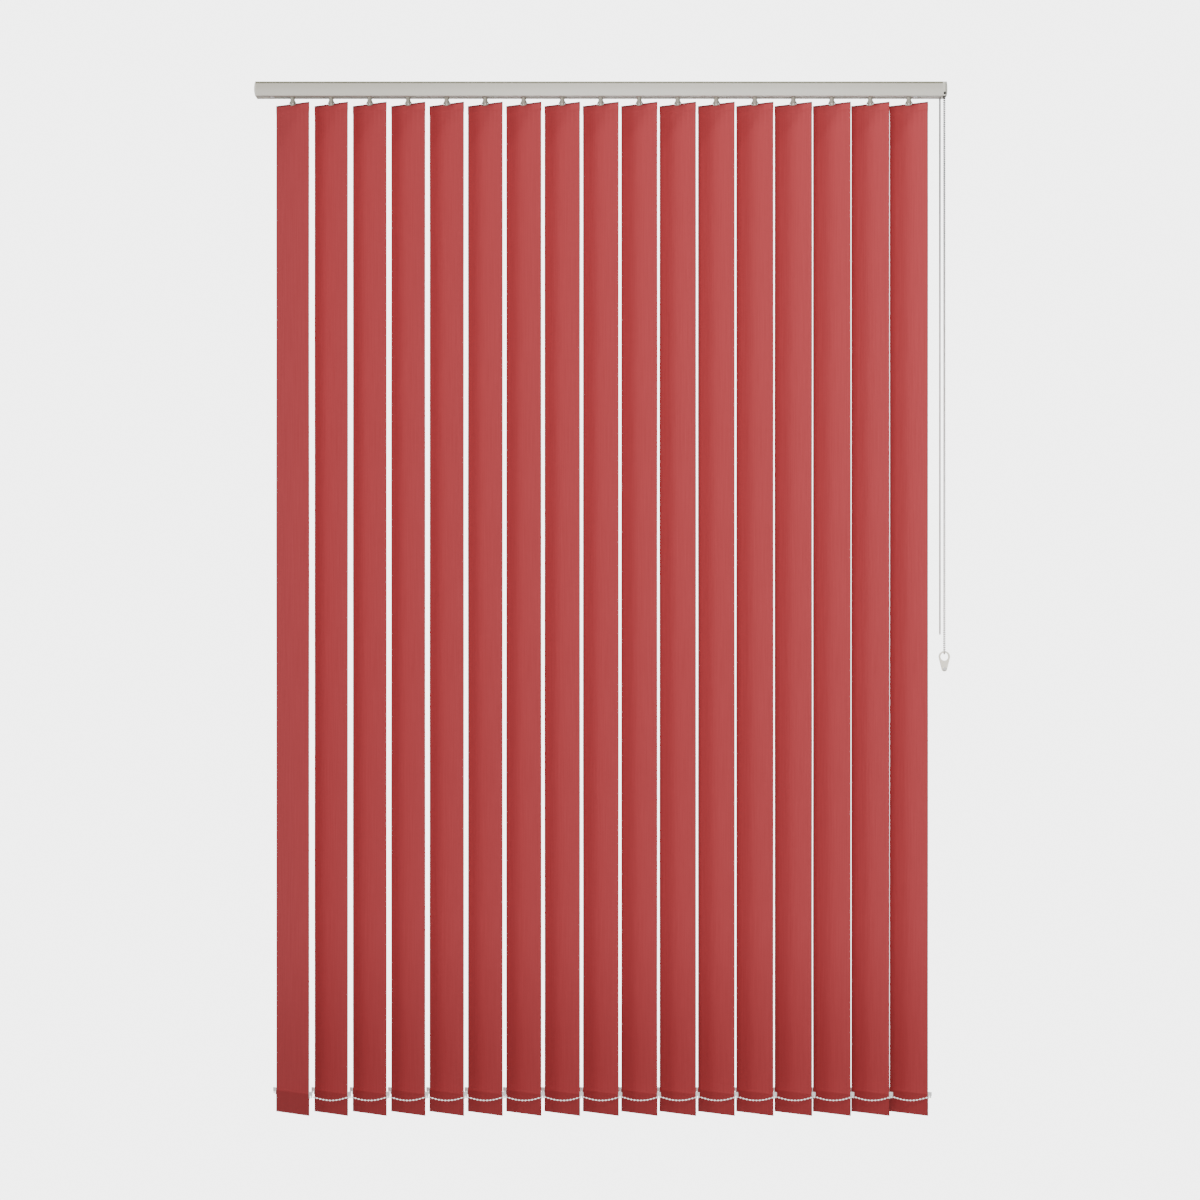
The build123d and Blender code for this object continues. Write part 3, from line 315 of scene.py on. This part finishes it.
# painted shade: the cord grows darker towards the top, near the rail
tint_band(CORD, "Z", -0.6, -0.15, (0.22, 0.22, 0.21))


def dress(node, made):
    """Give a CAD node its finish."""
    slots = frame["nodes"][node].data.materials
    slots.clear()
    slots.append(made)


# ---------------------------------------------------------------- helpers for pieces
def new_object(name, mesh, made, smooth=True):
    """A mesh object in the scene with one material."""
    thing = bpy.data.objects.new(name, mesh)
    bpy.context.scene.collection.objects.link(thing)
    mesh.materials.clear()
    mesh.materials.append(made)
    if smooth:
        mesh.shade_smooth()
    return thing


def stand_for(piece, node, body):
    """The piece rides on a body and takes the place of a CAD node."""
    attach(piece, body)
    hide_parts(node)


def outline_mesh(name, loops, half_thickness, edge):
    """A flat plate in the XZ plane from an outer loop and holes, with eased edges."""
    curve = bpy.data.curves.new(name, "CURVE")
    curve.dimensions = "2D"
    curve.fill_mode = "BOTH"
    curve.extrude = half_thickness - edge
    curve.bevel_depth = edge
    curve.bevel_resolution = 1
    curve.offset = -edge
    for points in loops:
        spline = curve.splines.new("POLY")
        spline.points.add(len(points) - 1)
        for point, (x, z) in zip(spline.points, points):
            point.co = (x, z, 0, 1)
        spline.use_cyclic_u = True
    holder = bpy.data.objects.new(name, curve)
    bpy.context.scene.collection.objects.link(holder)
    mesh = bpy.data.meshes.new_from_object(holder.evaluated_get(bpy.context.evaluated_depsgraph_get()))
    bpy.data.objects.remove(holder)
    mesh.transform(Matrix.Rotation(math.pi / 2, 4, "X"))
    return mesh


def arc(cx, cz, radius, start, stop, steps):
    """Points of an arc, angles in degrees."""
    turn = [math.radians(start + (stop - start) * k / steps) for k in range(steps + 1)]
    return [(cx + radius * math.cos(a), cz + radius * math.sin(a)) for a in turn]


def rounded(width, low, high, radius, steps=4):
    """A rounded rectangle centred on x = 0."""
    half = width / 2
    points = []
    points += arc(half - radius, high - radius, radius, 0, 90, steps)
    points += arc(-half + radius, high - radius, radius, 90, 180, steps)
    points += arc(-half + radius, low + radius, radius, 180, 270, steps)
    points += arc(half - radius, low + radius, radius, 270, 360, steps)
    return points


def lathe(name, profile, steps=24):
    """A turned mesh about Z from (radius, z) points."""
    mesh = bpy.data.meshes.new(name)
    grid = bmesh.new()
    rings = []
    for radius, z in profile:
        if radius < 1e-7:
            rings.append([grid.verts.new((0, 0, z))])
            continue
        turn = [2 * math.pi * k / steps for k in range(steps)]
        rings.append([grid.verts.new((radius * math.cos(a), radius * math.sin(a), z)) for a in turn])
    for low, high in zip(rings, rings[1:]):
        for k in range(steps):
            m = (k + 1) % steps
            corners = [low[k % len(low)], low[m % len(low)], high[m % len(high)], high[k % len(high)]]
            corners = list(dict.fromkeys(corners))
            if len(corners) > 2:
                grid.faces.new(corners)
    bmesh.ops.recalc_face_normals(grid, faces=grid.faces)
    grid.to_mesh(mesh)
    grid.free()
    return mesh


def block(grid, low, high, bevel):
    """A box with eased edges, added to a bmesh."""
    made = bmesh.ops.create_cube(grid, size=1)
    size = Vector(high) - Vector(low)
    middle = (Vector(high) + Vector(low)) / 2
    bmesh.ops.scale(grid, vec=size, verts=made["verts"])
    bmesh.ops.translate(grid, vec=middle, verts=made["verts"])
    edges = list({edge for vert in made["verts"] for edge in vert.link_edges})
    bmesh.ops.bevel(grid, geom=edges, offset=bevel, segments=2, profile=0.5, affect="EDGES")


def post(grid, x, low, high, radius):
    """An upright round pin at (x, 0), added to a bmesh."""
    middle = Matrix.Translation((x, 0, (low + high) / 2))
    made = bmesh.ops.create_cone(
        grid, cap_ends=True, segments=16, radius1=radius, radius2=radius, depth=high - low, matrix=middle
    )
    rims = [edge for edge in {e for v in made["verts"] for e in v.link_edges}
            if abs(edge.verts[0].co.z - edge.verts[1].co.z) < 1e-9]
    bmesh.ops.bevel(grid, geom=rims, offset=radius * 0.3, segments=2, profile=0.5, affect="EDGES")


# ---------------------------------------------------------------- louvres
PLATE_TOP = LOUVRE_TOP - 0.0009
PEG_Z = RAIL_BOTTOM - PEG_DROP
CLIP_CREST = LOUVRE_BOTTOM + BOTTOM_WELD + CLIP_RISE
CLIP_FOOT = CLIP_CREST - CLIP_HEIGHT
EYE_Z = CLIP_CREST - EYE_DROP
EYE_OUT = EDGE + EYE_REACH


def mirrored(right):
    """Points on the other side of x = 0, in reverse order."""
    return [(-x, z) for x, z in reversed(right)]


def smooth_step(value, low, high):
    """0 below low, 1 above high, smooth between."""
    t = min(max((value - low) / (high - low), 0), 1)
    return t * t * (3 - 2 * t)


def strip_path():
    """The folded strip seen from its edge: (v, z) points from the top flap to the bottom flap."""
    weld_top = LOUVRE_TOP - TOP_WELD
    weld_low = LOUVRE_BOTTOM + BOTTOM_WELD
    bulge = POCKET_BULGE
    fold = bulge + FABRIC / 2
    path = [(FABRIC, weld_top - WELD_TAIL), (FABRIC, weld_top)]
    path += [(bulge * k / 3 + FABRIC * (1 - k / 3), weld_top + POCKET_TAPER * k / 3) for k in (1, 2, 3)]
    wall = TOP_WELD - POCKET_TAPER - NOTCH_DEPTH
    path += [(bulge, weld_top + POCKET_TAPER + wall * k / 3) for k in (1, 2, 3)]
    path.append((bulge, LOUVRE_TOP - fold))
    path += arc(0, LOUVRE_TOP - fold, bulge, 30, 150, 4)
    path.append((-bulge, LOUVRE_TOP - fold))
    path += [(-bulge, LOUVRE_TOP - NOTCH_DEPTH - wall * k / 3) for k in (0, 1, 2, 3)]
    path += [(-bulge * (1 - k / 3), weld_top + POCKET_TAPER * (1 - k / 3)) for k in (1, 2, 3)]
    rows = 72
    span = weld_top - weld_low
    path += [(0, weld_top - span * k / rows) for k in range(1, rows + 1)]
    path += [(-bulge * k / 3, weld_low - POCKET_TAPER * k / 3) for k in (1, 2, 3)]
    pocket = BOTTOM_WELD - POCKET_TAPER - fold
    path += [(-bulge, weld_low - POCKET_TAPER - pocket * k / 10) for k in range(1, 11)]
    path += arc(0, LOUVRE_BOTTOM + fold, bulge, 210, 330, 4)
    path += [(bulge, LOUVRE_BOTTOM + fold + pocket * k / 10) for k in range(0, 11)]
    path += [(bulge * (1 - k / 3) + FABRIC * k / 3, weld_low - POCKET_TAPER * (1 - k / 3)) for k in (1, 2, 3)]
    path.append((FABRIC, weld_low + WELD_TAIL))
    return path


def vane_mesh(number):
    """One folded fabric louvre in its own axes: X across, Y through, Z up."""
    right = [NOTCH_HALF, 0.019, 0.030, 0.036, EDGE - 0.0045, EDGE - 0.0021, EDGE - 0.0009, EDGE]
    columns = [-u for u in reversed(right)] + [0] + right
    path = strip_path()
    weld_low = LOUVRE_BOTTOM + BOTTOM_WELD
    grid = bmesh.new()
    rows = []
    for v, z in path:
        row = []
        for u in columns:
            slack = smooth_step(abs(u), PLATE_HALF - 0.0006, EDGE)
            held = 1 - 0.35 * slack
            hollow = smooth_step(z, LOUVRE_BOTTOM + WEIGHT_HEIGHT, weld_low - POCKET_TAPER)
            if LOUVRE_BOTTOM + WEIGHT_HEIGHT < z < weld_low:
                held *= 1 - 0.25 * hollow
            wave = noise.noise(Vector((u * 14, z * 2.2, number * 7.3))) * FABRIC_WAVE
            ends = smooth_step(z, weld_low, weld_low + 0.25)
            ends *= 1 - smooth_step(z, LOUVRE_TOP - 0.3, LOUVRE_TOP - 0.02)
            row.append(grid.verts.new((u, v * held + wave * ends, z)))
        rows.append(row)
    for upper, lower, (_, z0), (_, z1) in zip(rows, rows[1:], path, path[1:]):
        for k in range(len(columns) - 1):
            middle = (columns[k] + columns[k + 1]) / 2
            notch = abs(middle) < NOTCH_HALF and (z0 + z1) / 2 > LOUVRE_TOP - NOTCH_DEPTH + 1e-6
            if not notch:
                grid.faces.new((upper[k], upper[k + 1], lower[k + 1], lower[k]))
    loose = [vert for vert in grid.verts if not vert.link_faces]
    bmesh.ops.delete(grid, geom=loose, context="VERTS")
    bmesh.ops.recalc_face_normals(grid, faces=grid.faces)
    mesh = bpy.data.meshes.new(f"vane_{number:02d}")
    grid.to_mesh(mesh)
    grid.free()
    return mesh


def hanger_mesh():
    """The hanger: a long plate with an open, A-shaped tab."""
    low = PLATE_TOP - PLATE_HEIGHT
    base = PLATE_TOP - NOTCH_DEPTH
    right = [
        (PLATE_HALF - PLATE_CORNER, low), (PLATE_HALF, low + PLATE_CORNER),
        (PLATE_HALF, PLATE_TOP - PLATE_CORNER), (PLATE_HALF - PLATE_CORNER, PLATE_TOP),
        (PLATE_NOTCH_HALF, PLATE_TOP), (PLATE_NOTCH_HALF, base), (TAB_HALF, base),
        (0.0066, base + 0.0022), (0.0054, base + 0.0048), (0.0040, PEG_Z - 0.0030), (0.0030, PEG_Z - 0.0010),
    ]
    outer = right + arc(0, PEG_Z, TAB_R, 0, 180, 8) + mirrored(right)
    below = [(0.0012, base + 0.0040), (0.0019, base + 0.0050)]
    window = arc(0, PEG_Z, TAB_HOLE_R, 0, 180, 8) + mirrored(below) + below
    return outline_mesh("hanger", [outer, window], 0.0005, 0.00012)


def prong_mesh():
    """One prong of the hook: waisted under the collar, flaring like a bell towards the hanger."""
    top = RAIL_BOTTOM - 0.0012
    low = LOUVRE_TOP + 0.0003
    right = [
        (0.0056, top), (0.0048, top - 0.0016), (0.0042, top - 0.0036), (0.0046, PEG_Z + 0.0005),
        (0.0060, PEG_Z - 0.0020), (0.0078, low + 0.0014), (0.0081, low + 0.0006), (0.0076, low),
    ]
    return outline_mesh("prong", [right + mirrored(right)], 0.0006, 0.0002)


def hook_mesh():
    """The stem: worm gear, neck, collar, two prongs and the peg between them."""
    gear_z = RAIL_TOP - GEAR_DROP
    crown = GEAR_HALF_HEIGHT - 0.0004
    rim = GEAR_R - 0.0004
    grid = bmesh.new()
    body = lathe("stem", [
        (0, gear_z + GEAR_HALF_HEIGHT), (rim, gear_z + GEAR_HALF_HEIGHT), (GEAR_R, gear_z + crown),
        (GEAR_R, gear_z - crown), (rim, gear_z - GEAR_HALF_HEIGHT), (NECK_R, gear_z - 0.0026),
        (NECK_R, RAIL_BOTTOM), (COLLAR_R, RAIL_BOTTOM - 0.0002), (COLLAR_R, RAIL_BOTTOM - 0.0007),
        (COLLAR_R - 0.0006, RAIL_BOTTOM - 0.0015), (0, RAIL_BOTTOM - 0.0016),
    ])
    grid.from_mesh(body)
    prong = prong_mesh()
    for side in (-1, 1):
        shifted = prong.copy()
        shifted.transform(Matrix.Translation((0, side * PRONG_OFFSET, 0)))
        grid.from_mesh(shifted)
    across = Matrix.Translation((0, 0, PEG_Z)) @ Matrix.Rotation(math.pi / 2, 4, "X")
    bmesh.ops.create_cone(
        grid, cap_ends=True, segments=16, radius1=PEG_R, radius2=PEG_R, depth=PEG_LENGTH, matrix=across
    )
    mesh = bpy.data.meshes.new("hook")
    grid.to_mesh(mesh)
    grid.free()
    return mesh


def clip_mesh(side):
    """An edge clip: grip block, spine, tongue and the pin that the chain snaps onto."""
    edge = EDGE + 0.0001
    grid = bmesh.new()

    def span(near, far, thick, low, high, bevel):
        a, b = sorted((side * (edge + near), side * (edge + far)))
        block(grid, (a, -thick / 2, low), (b, thick / 2, high), bevel)

    body_low = EYE_Z + BODY_ABOVE_EYE
    span(0, CLIP_GRIP, 0.0032, body_low, CLIP_CREST, 0.0006)
    span(0, 0.0018, 0.0020, CLIP_FOOT, body_low + 0.001, 0.0003)
    span(-0.0055, 0.0005, 0.0010, CLIP_FOOT + 0.0002, CLIP_FOOT + 0.0060, 0.0002)
    post(grid, side * EYE_OUT, EYE_Z - PIN_BELOW_EYE, body_low + 0.0005, PIN_R)
    mesh = bpy.data.meshes.new("clip")
    grid.to_mesh(mesh)
    grid.free()
    return mesh


def weight_mesh():
    """The flat weight in the bottom pocket."""
    low = LOUVRE_BOTTOM + WEIGHT_SEAT
    outline = rounded(WEIGHT_WIDTH, low, low + WEIGHT_HEIGHT, 0.002)
    return outline_mesh("weight", [outline], 0.0005, 0.00015)


def build_louvres():
    """Seventeen louvres, each a set of separate pieces that ride on one body."""
    hanger, hook, weight = hanger_mesh(), hook_mesh(), weight_mesh()
    near_clip, far_clip = clip_mesh(1), clip_mesh(-1)
    path = strip_path()
    for number in range(1, LOUVRES + 1):
        body = f"louvre_{number:02d}"
        joint = JOINTS["tilt" if number == LOUVRES else f"tilt_{number:02d}"]
        axis = Vector(joint["pos_m"])
        place = Matrix.Translation((axis.x, axis.y, 0)) @ Matrix.Rotation(-LOUVRE_ANGLE, 4, "Z")
        vane = new_object(f"vane_{number:02d}", vane_mesh(number), FABRIC_RED)
        thick = vane.modifiers.new("thickness", "SOLIDIFY")
        thick.thickness = FABRIC
        thick.offset = 0
        made = [vane]
        for name, mesh, finish in (
            ("hanger", hanger, HOOK_PLASTIC),
            ("hook", hook, HOOK_PLASTIC),
            ("weight", weight, WHITE_PLASTIC),
            ("clip_near", near_clip, WHITE_PLASTIC),
            ("clip_far", far_clip, WHITE_PLASTIC),
        ):
            made.append(new_object(f"{name}_{number:02d}", mesh, finish, smooth=False))
        for piece in made:
            piece.matrix_world = place
            stand_for(piece, body, body)


build_louvres()


# ---------------------------------------------------------------- cords and chains
def spline_curve(name, points, radius):
    """A smooth curve with the route's points as its control points."""
    curve = bpy.data.curves.new(name, "CURVE")
    curve.dimensions = "3D"
    curve.resolution_u = 16
    curve.bevel_depth = radius
    curve.bevel_resolution = 4
    spline = curve.splines.new("NURBS")
    spline.points.add(len(points) - 1)
    for point, place in zip(spline.points, points):
        point.co = (*place, 1)
    spline.order_u = 3
    spline.use_endpoint_u = True
    return curve


def line_of(points):
    """Points along the smooth curve, close together."""
    curve = spline_curve("line", points, 0)
    curve.resolution_u = 24
    holder = bpy.data.objects.new("line", curve)
    bpy.context.scene.collection.objects.link(holder)
    mesh = bpy.data.meshes.new_from_object(holder.evaluated_get(bpy.context.evaluated_depsgraph_get()))
    found = [vert.co.copy() for vert in mesh.vertices]
    bpy.data.objects.remove(holder)
    return found


def along(points, pitch, start):
    """(place, direction) every pitch along a line of points."""
    found = []
    want, gone = start, 0.0
    for a, b in zip(points, points[1:]):
        step = (b - a).length
        while step > 0 and gone + step >= want:
            found.append((a.lerp(b, (want - gone) / step), (b - a).normalized()))
            want += pitch
        gone += step
    return found


def bead_mesh(length, radius, rings, sides):
    """One bead along Z, rounder than a cylinder."""
    profile = [(0, -length / 2)]
    for k in range(1, rings):
        turn = math.pi * k / rings
        profile.append((radius * math.sin(turn) ** 0.85, -length / 2 * math.cos(turn)))
    profile.append((0, length / 2))
    return lathe("bead", profile, sides)


def bead_chain(name, line, pitch, bead, wire_radius, finish):
    """Beads threaded on a thin core that follows the line."""
    grid = bmesh.new()
    for place, way in along(line, pitch, pitch / 2):
        turn = way.to_track_quat("Z", "Y").to_matrix().to_4x4()
        copy = bead.copy()
        copy.transform(Matrix.Translation(place) @ turn)
        grid.from_mesh(copy)
        bpy.data.meshes.remove(copy)
    core = [line[0]] + [p for p, _ in along(line, pitch / 2, pitch / 2)] + [line[-1]]
    rings = []
    for k, place in enumerate(core):
        way = (core[min(k + 1, len(core) - 1)] - core[max(k - 1, 0)]).normalized()
        side = way.orthogonal().normalized()
        if rings:
            side = (last_side - way * last_side.dot(way)).normalized()
        last_side = side
        up = way.cross(side)
        spokes = [side * math.cos(math.pi * m / 3) + up * math.sin(math.pi * m / 3) for m in range(6)]
        rings.append([grid.verts.new(place + spoke * wire_radius) for spoke in spokes])
    for low, high in zip(rings, rings[1:]):
        for m in range(6):
            grid.faces.new((low[m], low[(m + 1) % 6], high[(m + 1) % 6], high[m]))
    grid.faces.new(rings[0][::-1])
    grid.faces.new(rings[-1])
    mesh = bpy.data.meshes.new(name)
    grid.to_mesh(mesh)
    grid.free()
    return new_object(name, mesh, finish)


# draw cord: from the front guide pulley down, round the bight and up to the back pulley
CORD_X, CORD_FRONT, CORD_BACK = 0.688, 0.0016, 0.0150
CORD_TOP, CORD_LOW, GUIDE_X = -0.0104, -1.1183, 0.682
draw_points = [
    (GUIDE_X, CORD_FRONT, CORD_TOP), (CORD_X, CORD_FRONT, CORD_TOP), (CORD_X, CORD_FRONT, CORD_TOP - 0.012),
    (CORD_X, CORD_FRONT, CORD_LOW + 0.0134), (CORD_X, CORD_FRONT, CORD_LOW), (CORD_X, CORD_BACK, CORD_LOW),
    (CORD_X, CORD_BACK, CORD_LOW + 0.0134), (CORD_X, CORD_BACK, CORD_TOP - 0.012),
    (CORD_X, CORD_BACK, CORD_TOP), (GUIDE_X, CORD_BACK, CORD_TOP),
]
draw_cord = bpy.data.objects.new("draw_cord_loop", spline_curve("draw_cord_loop", draw_points, CORD_R))
bpy.context.scene.collection.objects.link(draw_cord)
draw_cord.data.materials.append(CORD)
stand_for(draw_cord, "draw_cord", "root")

# tilt chain: over the wheel, down the front, round the bight and up the back
wheel_low, wheel_high = (Vector(corner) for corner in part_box("chain_wheel"))
WHEEL = (wheel_low + wheel_high) / 2
WHEEL_R = WHEEL_BALLS * BALL_PITCH / (2 * math.pi)
BIGHT_Z = -1.1572
FRONT_Y, BACK_Y, OVER_Z = WHEEL.y - WHEEL_R, WHEEL.y + WHEEL_R, WHEEL.z + WHEEL_R
chain_points = [
    (WHEEL.x, WHEEL.y - 0.0001, OVER_Z), (WHEEL.x, FRONT_Y, OVER_Z), (WHEEL.x, FRONT_Y, OVER_Z - 0.019),
    (WHEEL.x, FRONT_Y, BIGHT_Z + 0.0168), (WHEEL.x, FRONT_Y, BIGHT_Z), (WHEEL.x, BACK_Y, BIGHT_Z),
    (WHEEL.x, BACK_Y, BIGHT_Z + 0.0168), (WHEEL.x, BACK_Y, OVER_Z - 0.019), (WHEEL.x, BACK_Y, OVER_Z),
    (WHEEL.x, WHEEL.y + 0.0001, OVER_Z),
]
chain_line = line_of(chain_points)
ball = bead_mesh(BALL_D, BALL_D / 2, 6, 10)
tilt_chain = bead_chain("tilt_ball_chain", chain_line, BALL_PITCH, ball, LINK_R, NICKEL)
stand_for(tilt_chain, "tilt_chain", "root")

# bottom chains: swags of beads from pin to pin
CHAIN_SAG = 0.0072
FLAT_HALF = 0.013
PIN_SIDE = 0.0018
bead = bead_mesh(BEAD_LENGTH, BEAD_R, 6, 10)
for name, side in (("bottom_chain_front", 1), ("bottom_chain_back", -1)):
    eye_x = side * EYE_OUT * math.cos(LOUVRE_ANGLE)
    eye_y = -side * EYE_OUT * math.sin(LOUVRE_ANGLE)
    route = []
    for number in range(LOUVRES - 1):
        left = JOINTS["tilt_01"]["pos_m"][0] + number * LOUVRE_PITCH + eye_x
        middle = left + LOUVRE_PITCH / 2
        route += [
            (left + PIN_SIDE, eye_y, EYE_Z), (middle - FLAT_HALF, eye_y, EYE_Z - CHAIN_SAG),
            (middle + FLAT_HALF, eye_y, EYE_Z - CHAIN_SAG), (left + LOUVRE_PITCH - PIN_SIDE, eye_y, EYE_Z),
        ]
    line = line_of(route)
    beads = bead_chain(f"{name}_beads", line, BEAD_PITCH, bead, CORE_R, BEAD_PLASTIC_PAINTED_GLOW)
    stand_for(beads, name, name)
    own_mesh(beads)

# ---------------------------------------------------------------- finishes of the CAD pieces
FINISH = {
    "headrail": RAIL_COAT, "end_cap_left": CAP_PLASTIC, "end_cap_right": CAP_PLASTIC,
    "control_housing": CAP_PLASTIC, "rail_stop_left": WHITE_PLASTIC, "rail_stop_right": WHITE_PLASTIC,
    "rail_stop_screws": STEEL, "return_pulley": WHITE_PLASTIC, "guide_pulley_front": WHITE_PLASTIC,
    "guide_pulley_back": WHITE_PLASTIC, "return_pulley_pin": STEEL, "guide_pulley_pin": STEEL,
    "tilt_rod": ROD_METAL, "chain_wheel": WHITE_PLASTIC, "rail_cord": CORD,
    "chain_safety_clip": IVORY_PLASTIC_PAINTED_GLOW, "safety_clip_screw": STEEL,
    "ceiling_bracket_1": STEEL, "ceiling_bracket_2": STEEL, "ceiling_bracket_3": STEEL,
}
for number in range(1, LOUVRES + 1):
    FINISH[f"carrier_{number:02d}"] = TRUCK_PLASTIC
for node, finish in FINISH.items():
    dress(node, finish)

# ---------------------------------------------------------------- stage, light and camera
EYE_HEIGHT = RAIL_TOP - 1.047
EYE_DISTANCE = 5.8
FLOOR_Z = LOUVRE_BOTTOM - 0.6
FILL = 0.25
SEEN_WHITE = 4.8
LAMPS = [
    ("overhead", (0, -0.55, 1.7), (0, 0, -0.9), (2.4, 0.5), 42),
    ("front", (0, -3.2, -0.3), (0, 0, -0.6), (1.6, 1.6), 82),
    ("left", (-1.6, -1.8, -0.6), (0, 0, -0.7), (1.0, 1.4), 12),
    ("right", (1.6, -1.8, -0.6), (0, 0, -0.7), (1.0, 1.4), 16),
    ("back", (0.4, 3.0, 0.3), (0, 0, -0.9), (2.2, 1.6), 90),
]


def plane(name, size, place, rotation, made):
    """A flat stage sheet."""
    mesh = bpy.data.meshes.new(name)
    x, y = size[0] / 2, size[1] / 2
    mesh.from_pydata([(-x, -y, 0), (x, -y, 0), (x, y, 0), (-x, y, 0)], [], [(0, 1, 2, 3)])
    sheet = new_object(name, mesh, made, smooth=False)
    sheet.location = place
    sheet.rotation_euler = rotation


FLOOR = material("floor", (0.88, 0.88, 0.88), 0.8, Specular_IOR_Level=0.1)
plane("floor", (8.0, 5.0), (0, -0.6, FLOOR_Z), (0, 0, 0), FLOOR)

world = bpy.data.worlds.new("studio")
world.use_nodes = True
sky = world.node_tree
fill = sky.nodes["Background"]
fill.inputs["Color"].default_value = (1, 1, 1, 1)
fill.inputs["Strength"].default_value = FILL
seen = add(sky, "ShaderNodeBackground", Color=(1, 1, 1, 1), Strength=SEEN_WHITE)
path = sky.nodes.new("ShaderNodeLightPath")
either = sky.nodes.new("ShaderNodeMixShader")
sky.links.new(path.outputs["Is Camera Ray"], either.inputs["Fac"])
sky.links.new(fill.outputs["Background"], either.inputs[1])
sky.links.new(seen.outputs["Background"], either.inputs[2])
sky.links.new(either.outputs["Shader"], sky.nodes["World Output"].inputs["Surface"])
bpy.context.scene.world = world


def area_light(name, place, target, size, power):
    """A soft light that faces its target."""
    lamp = bpy.data.lights.new(name, "AREA")
    lamp.shape = "RECTANGLE"
    lamp.size, lamp.size_y = size
    lamp.energy = power
    holder = bpy.data.objects.new(name, lamp)
    holder.location = place
    holder.rotation_euler = (Vector(target) - Vector(place)).to_track_quat("-Z", "Y").to_euler()
    bpy.context.scene.collection.objects.link(holder)


for lamp in LAMPS:
    area_light(*lamp)

camera = bpy.data.cameras.new("camera")
camera.sensor_width = 36
camera.lens = 85.9
eye = bpy.data.objects.new("camera", camera)
eye.location = (-0.0015, -EYE_DISTANCE, EYE_HEIGHT)
eye.rotation_euler = (math.pi / 2, 0, 0)
bpy.context.scene.collection.objects.link(eye)
bpy.context.scene.camera = eye
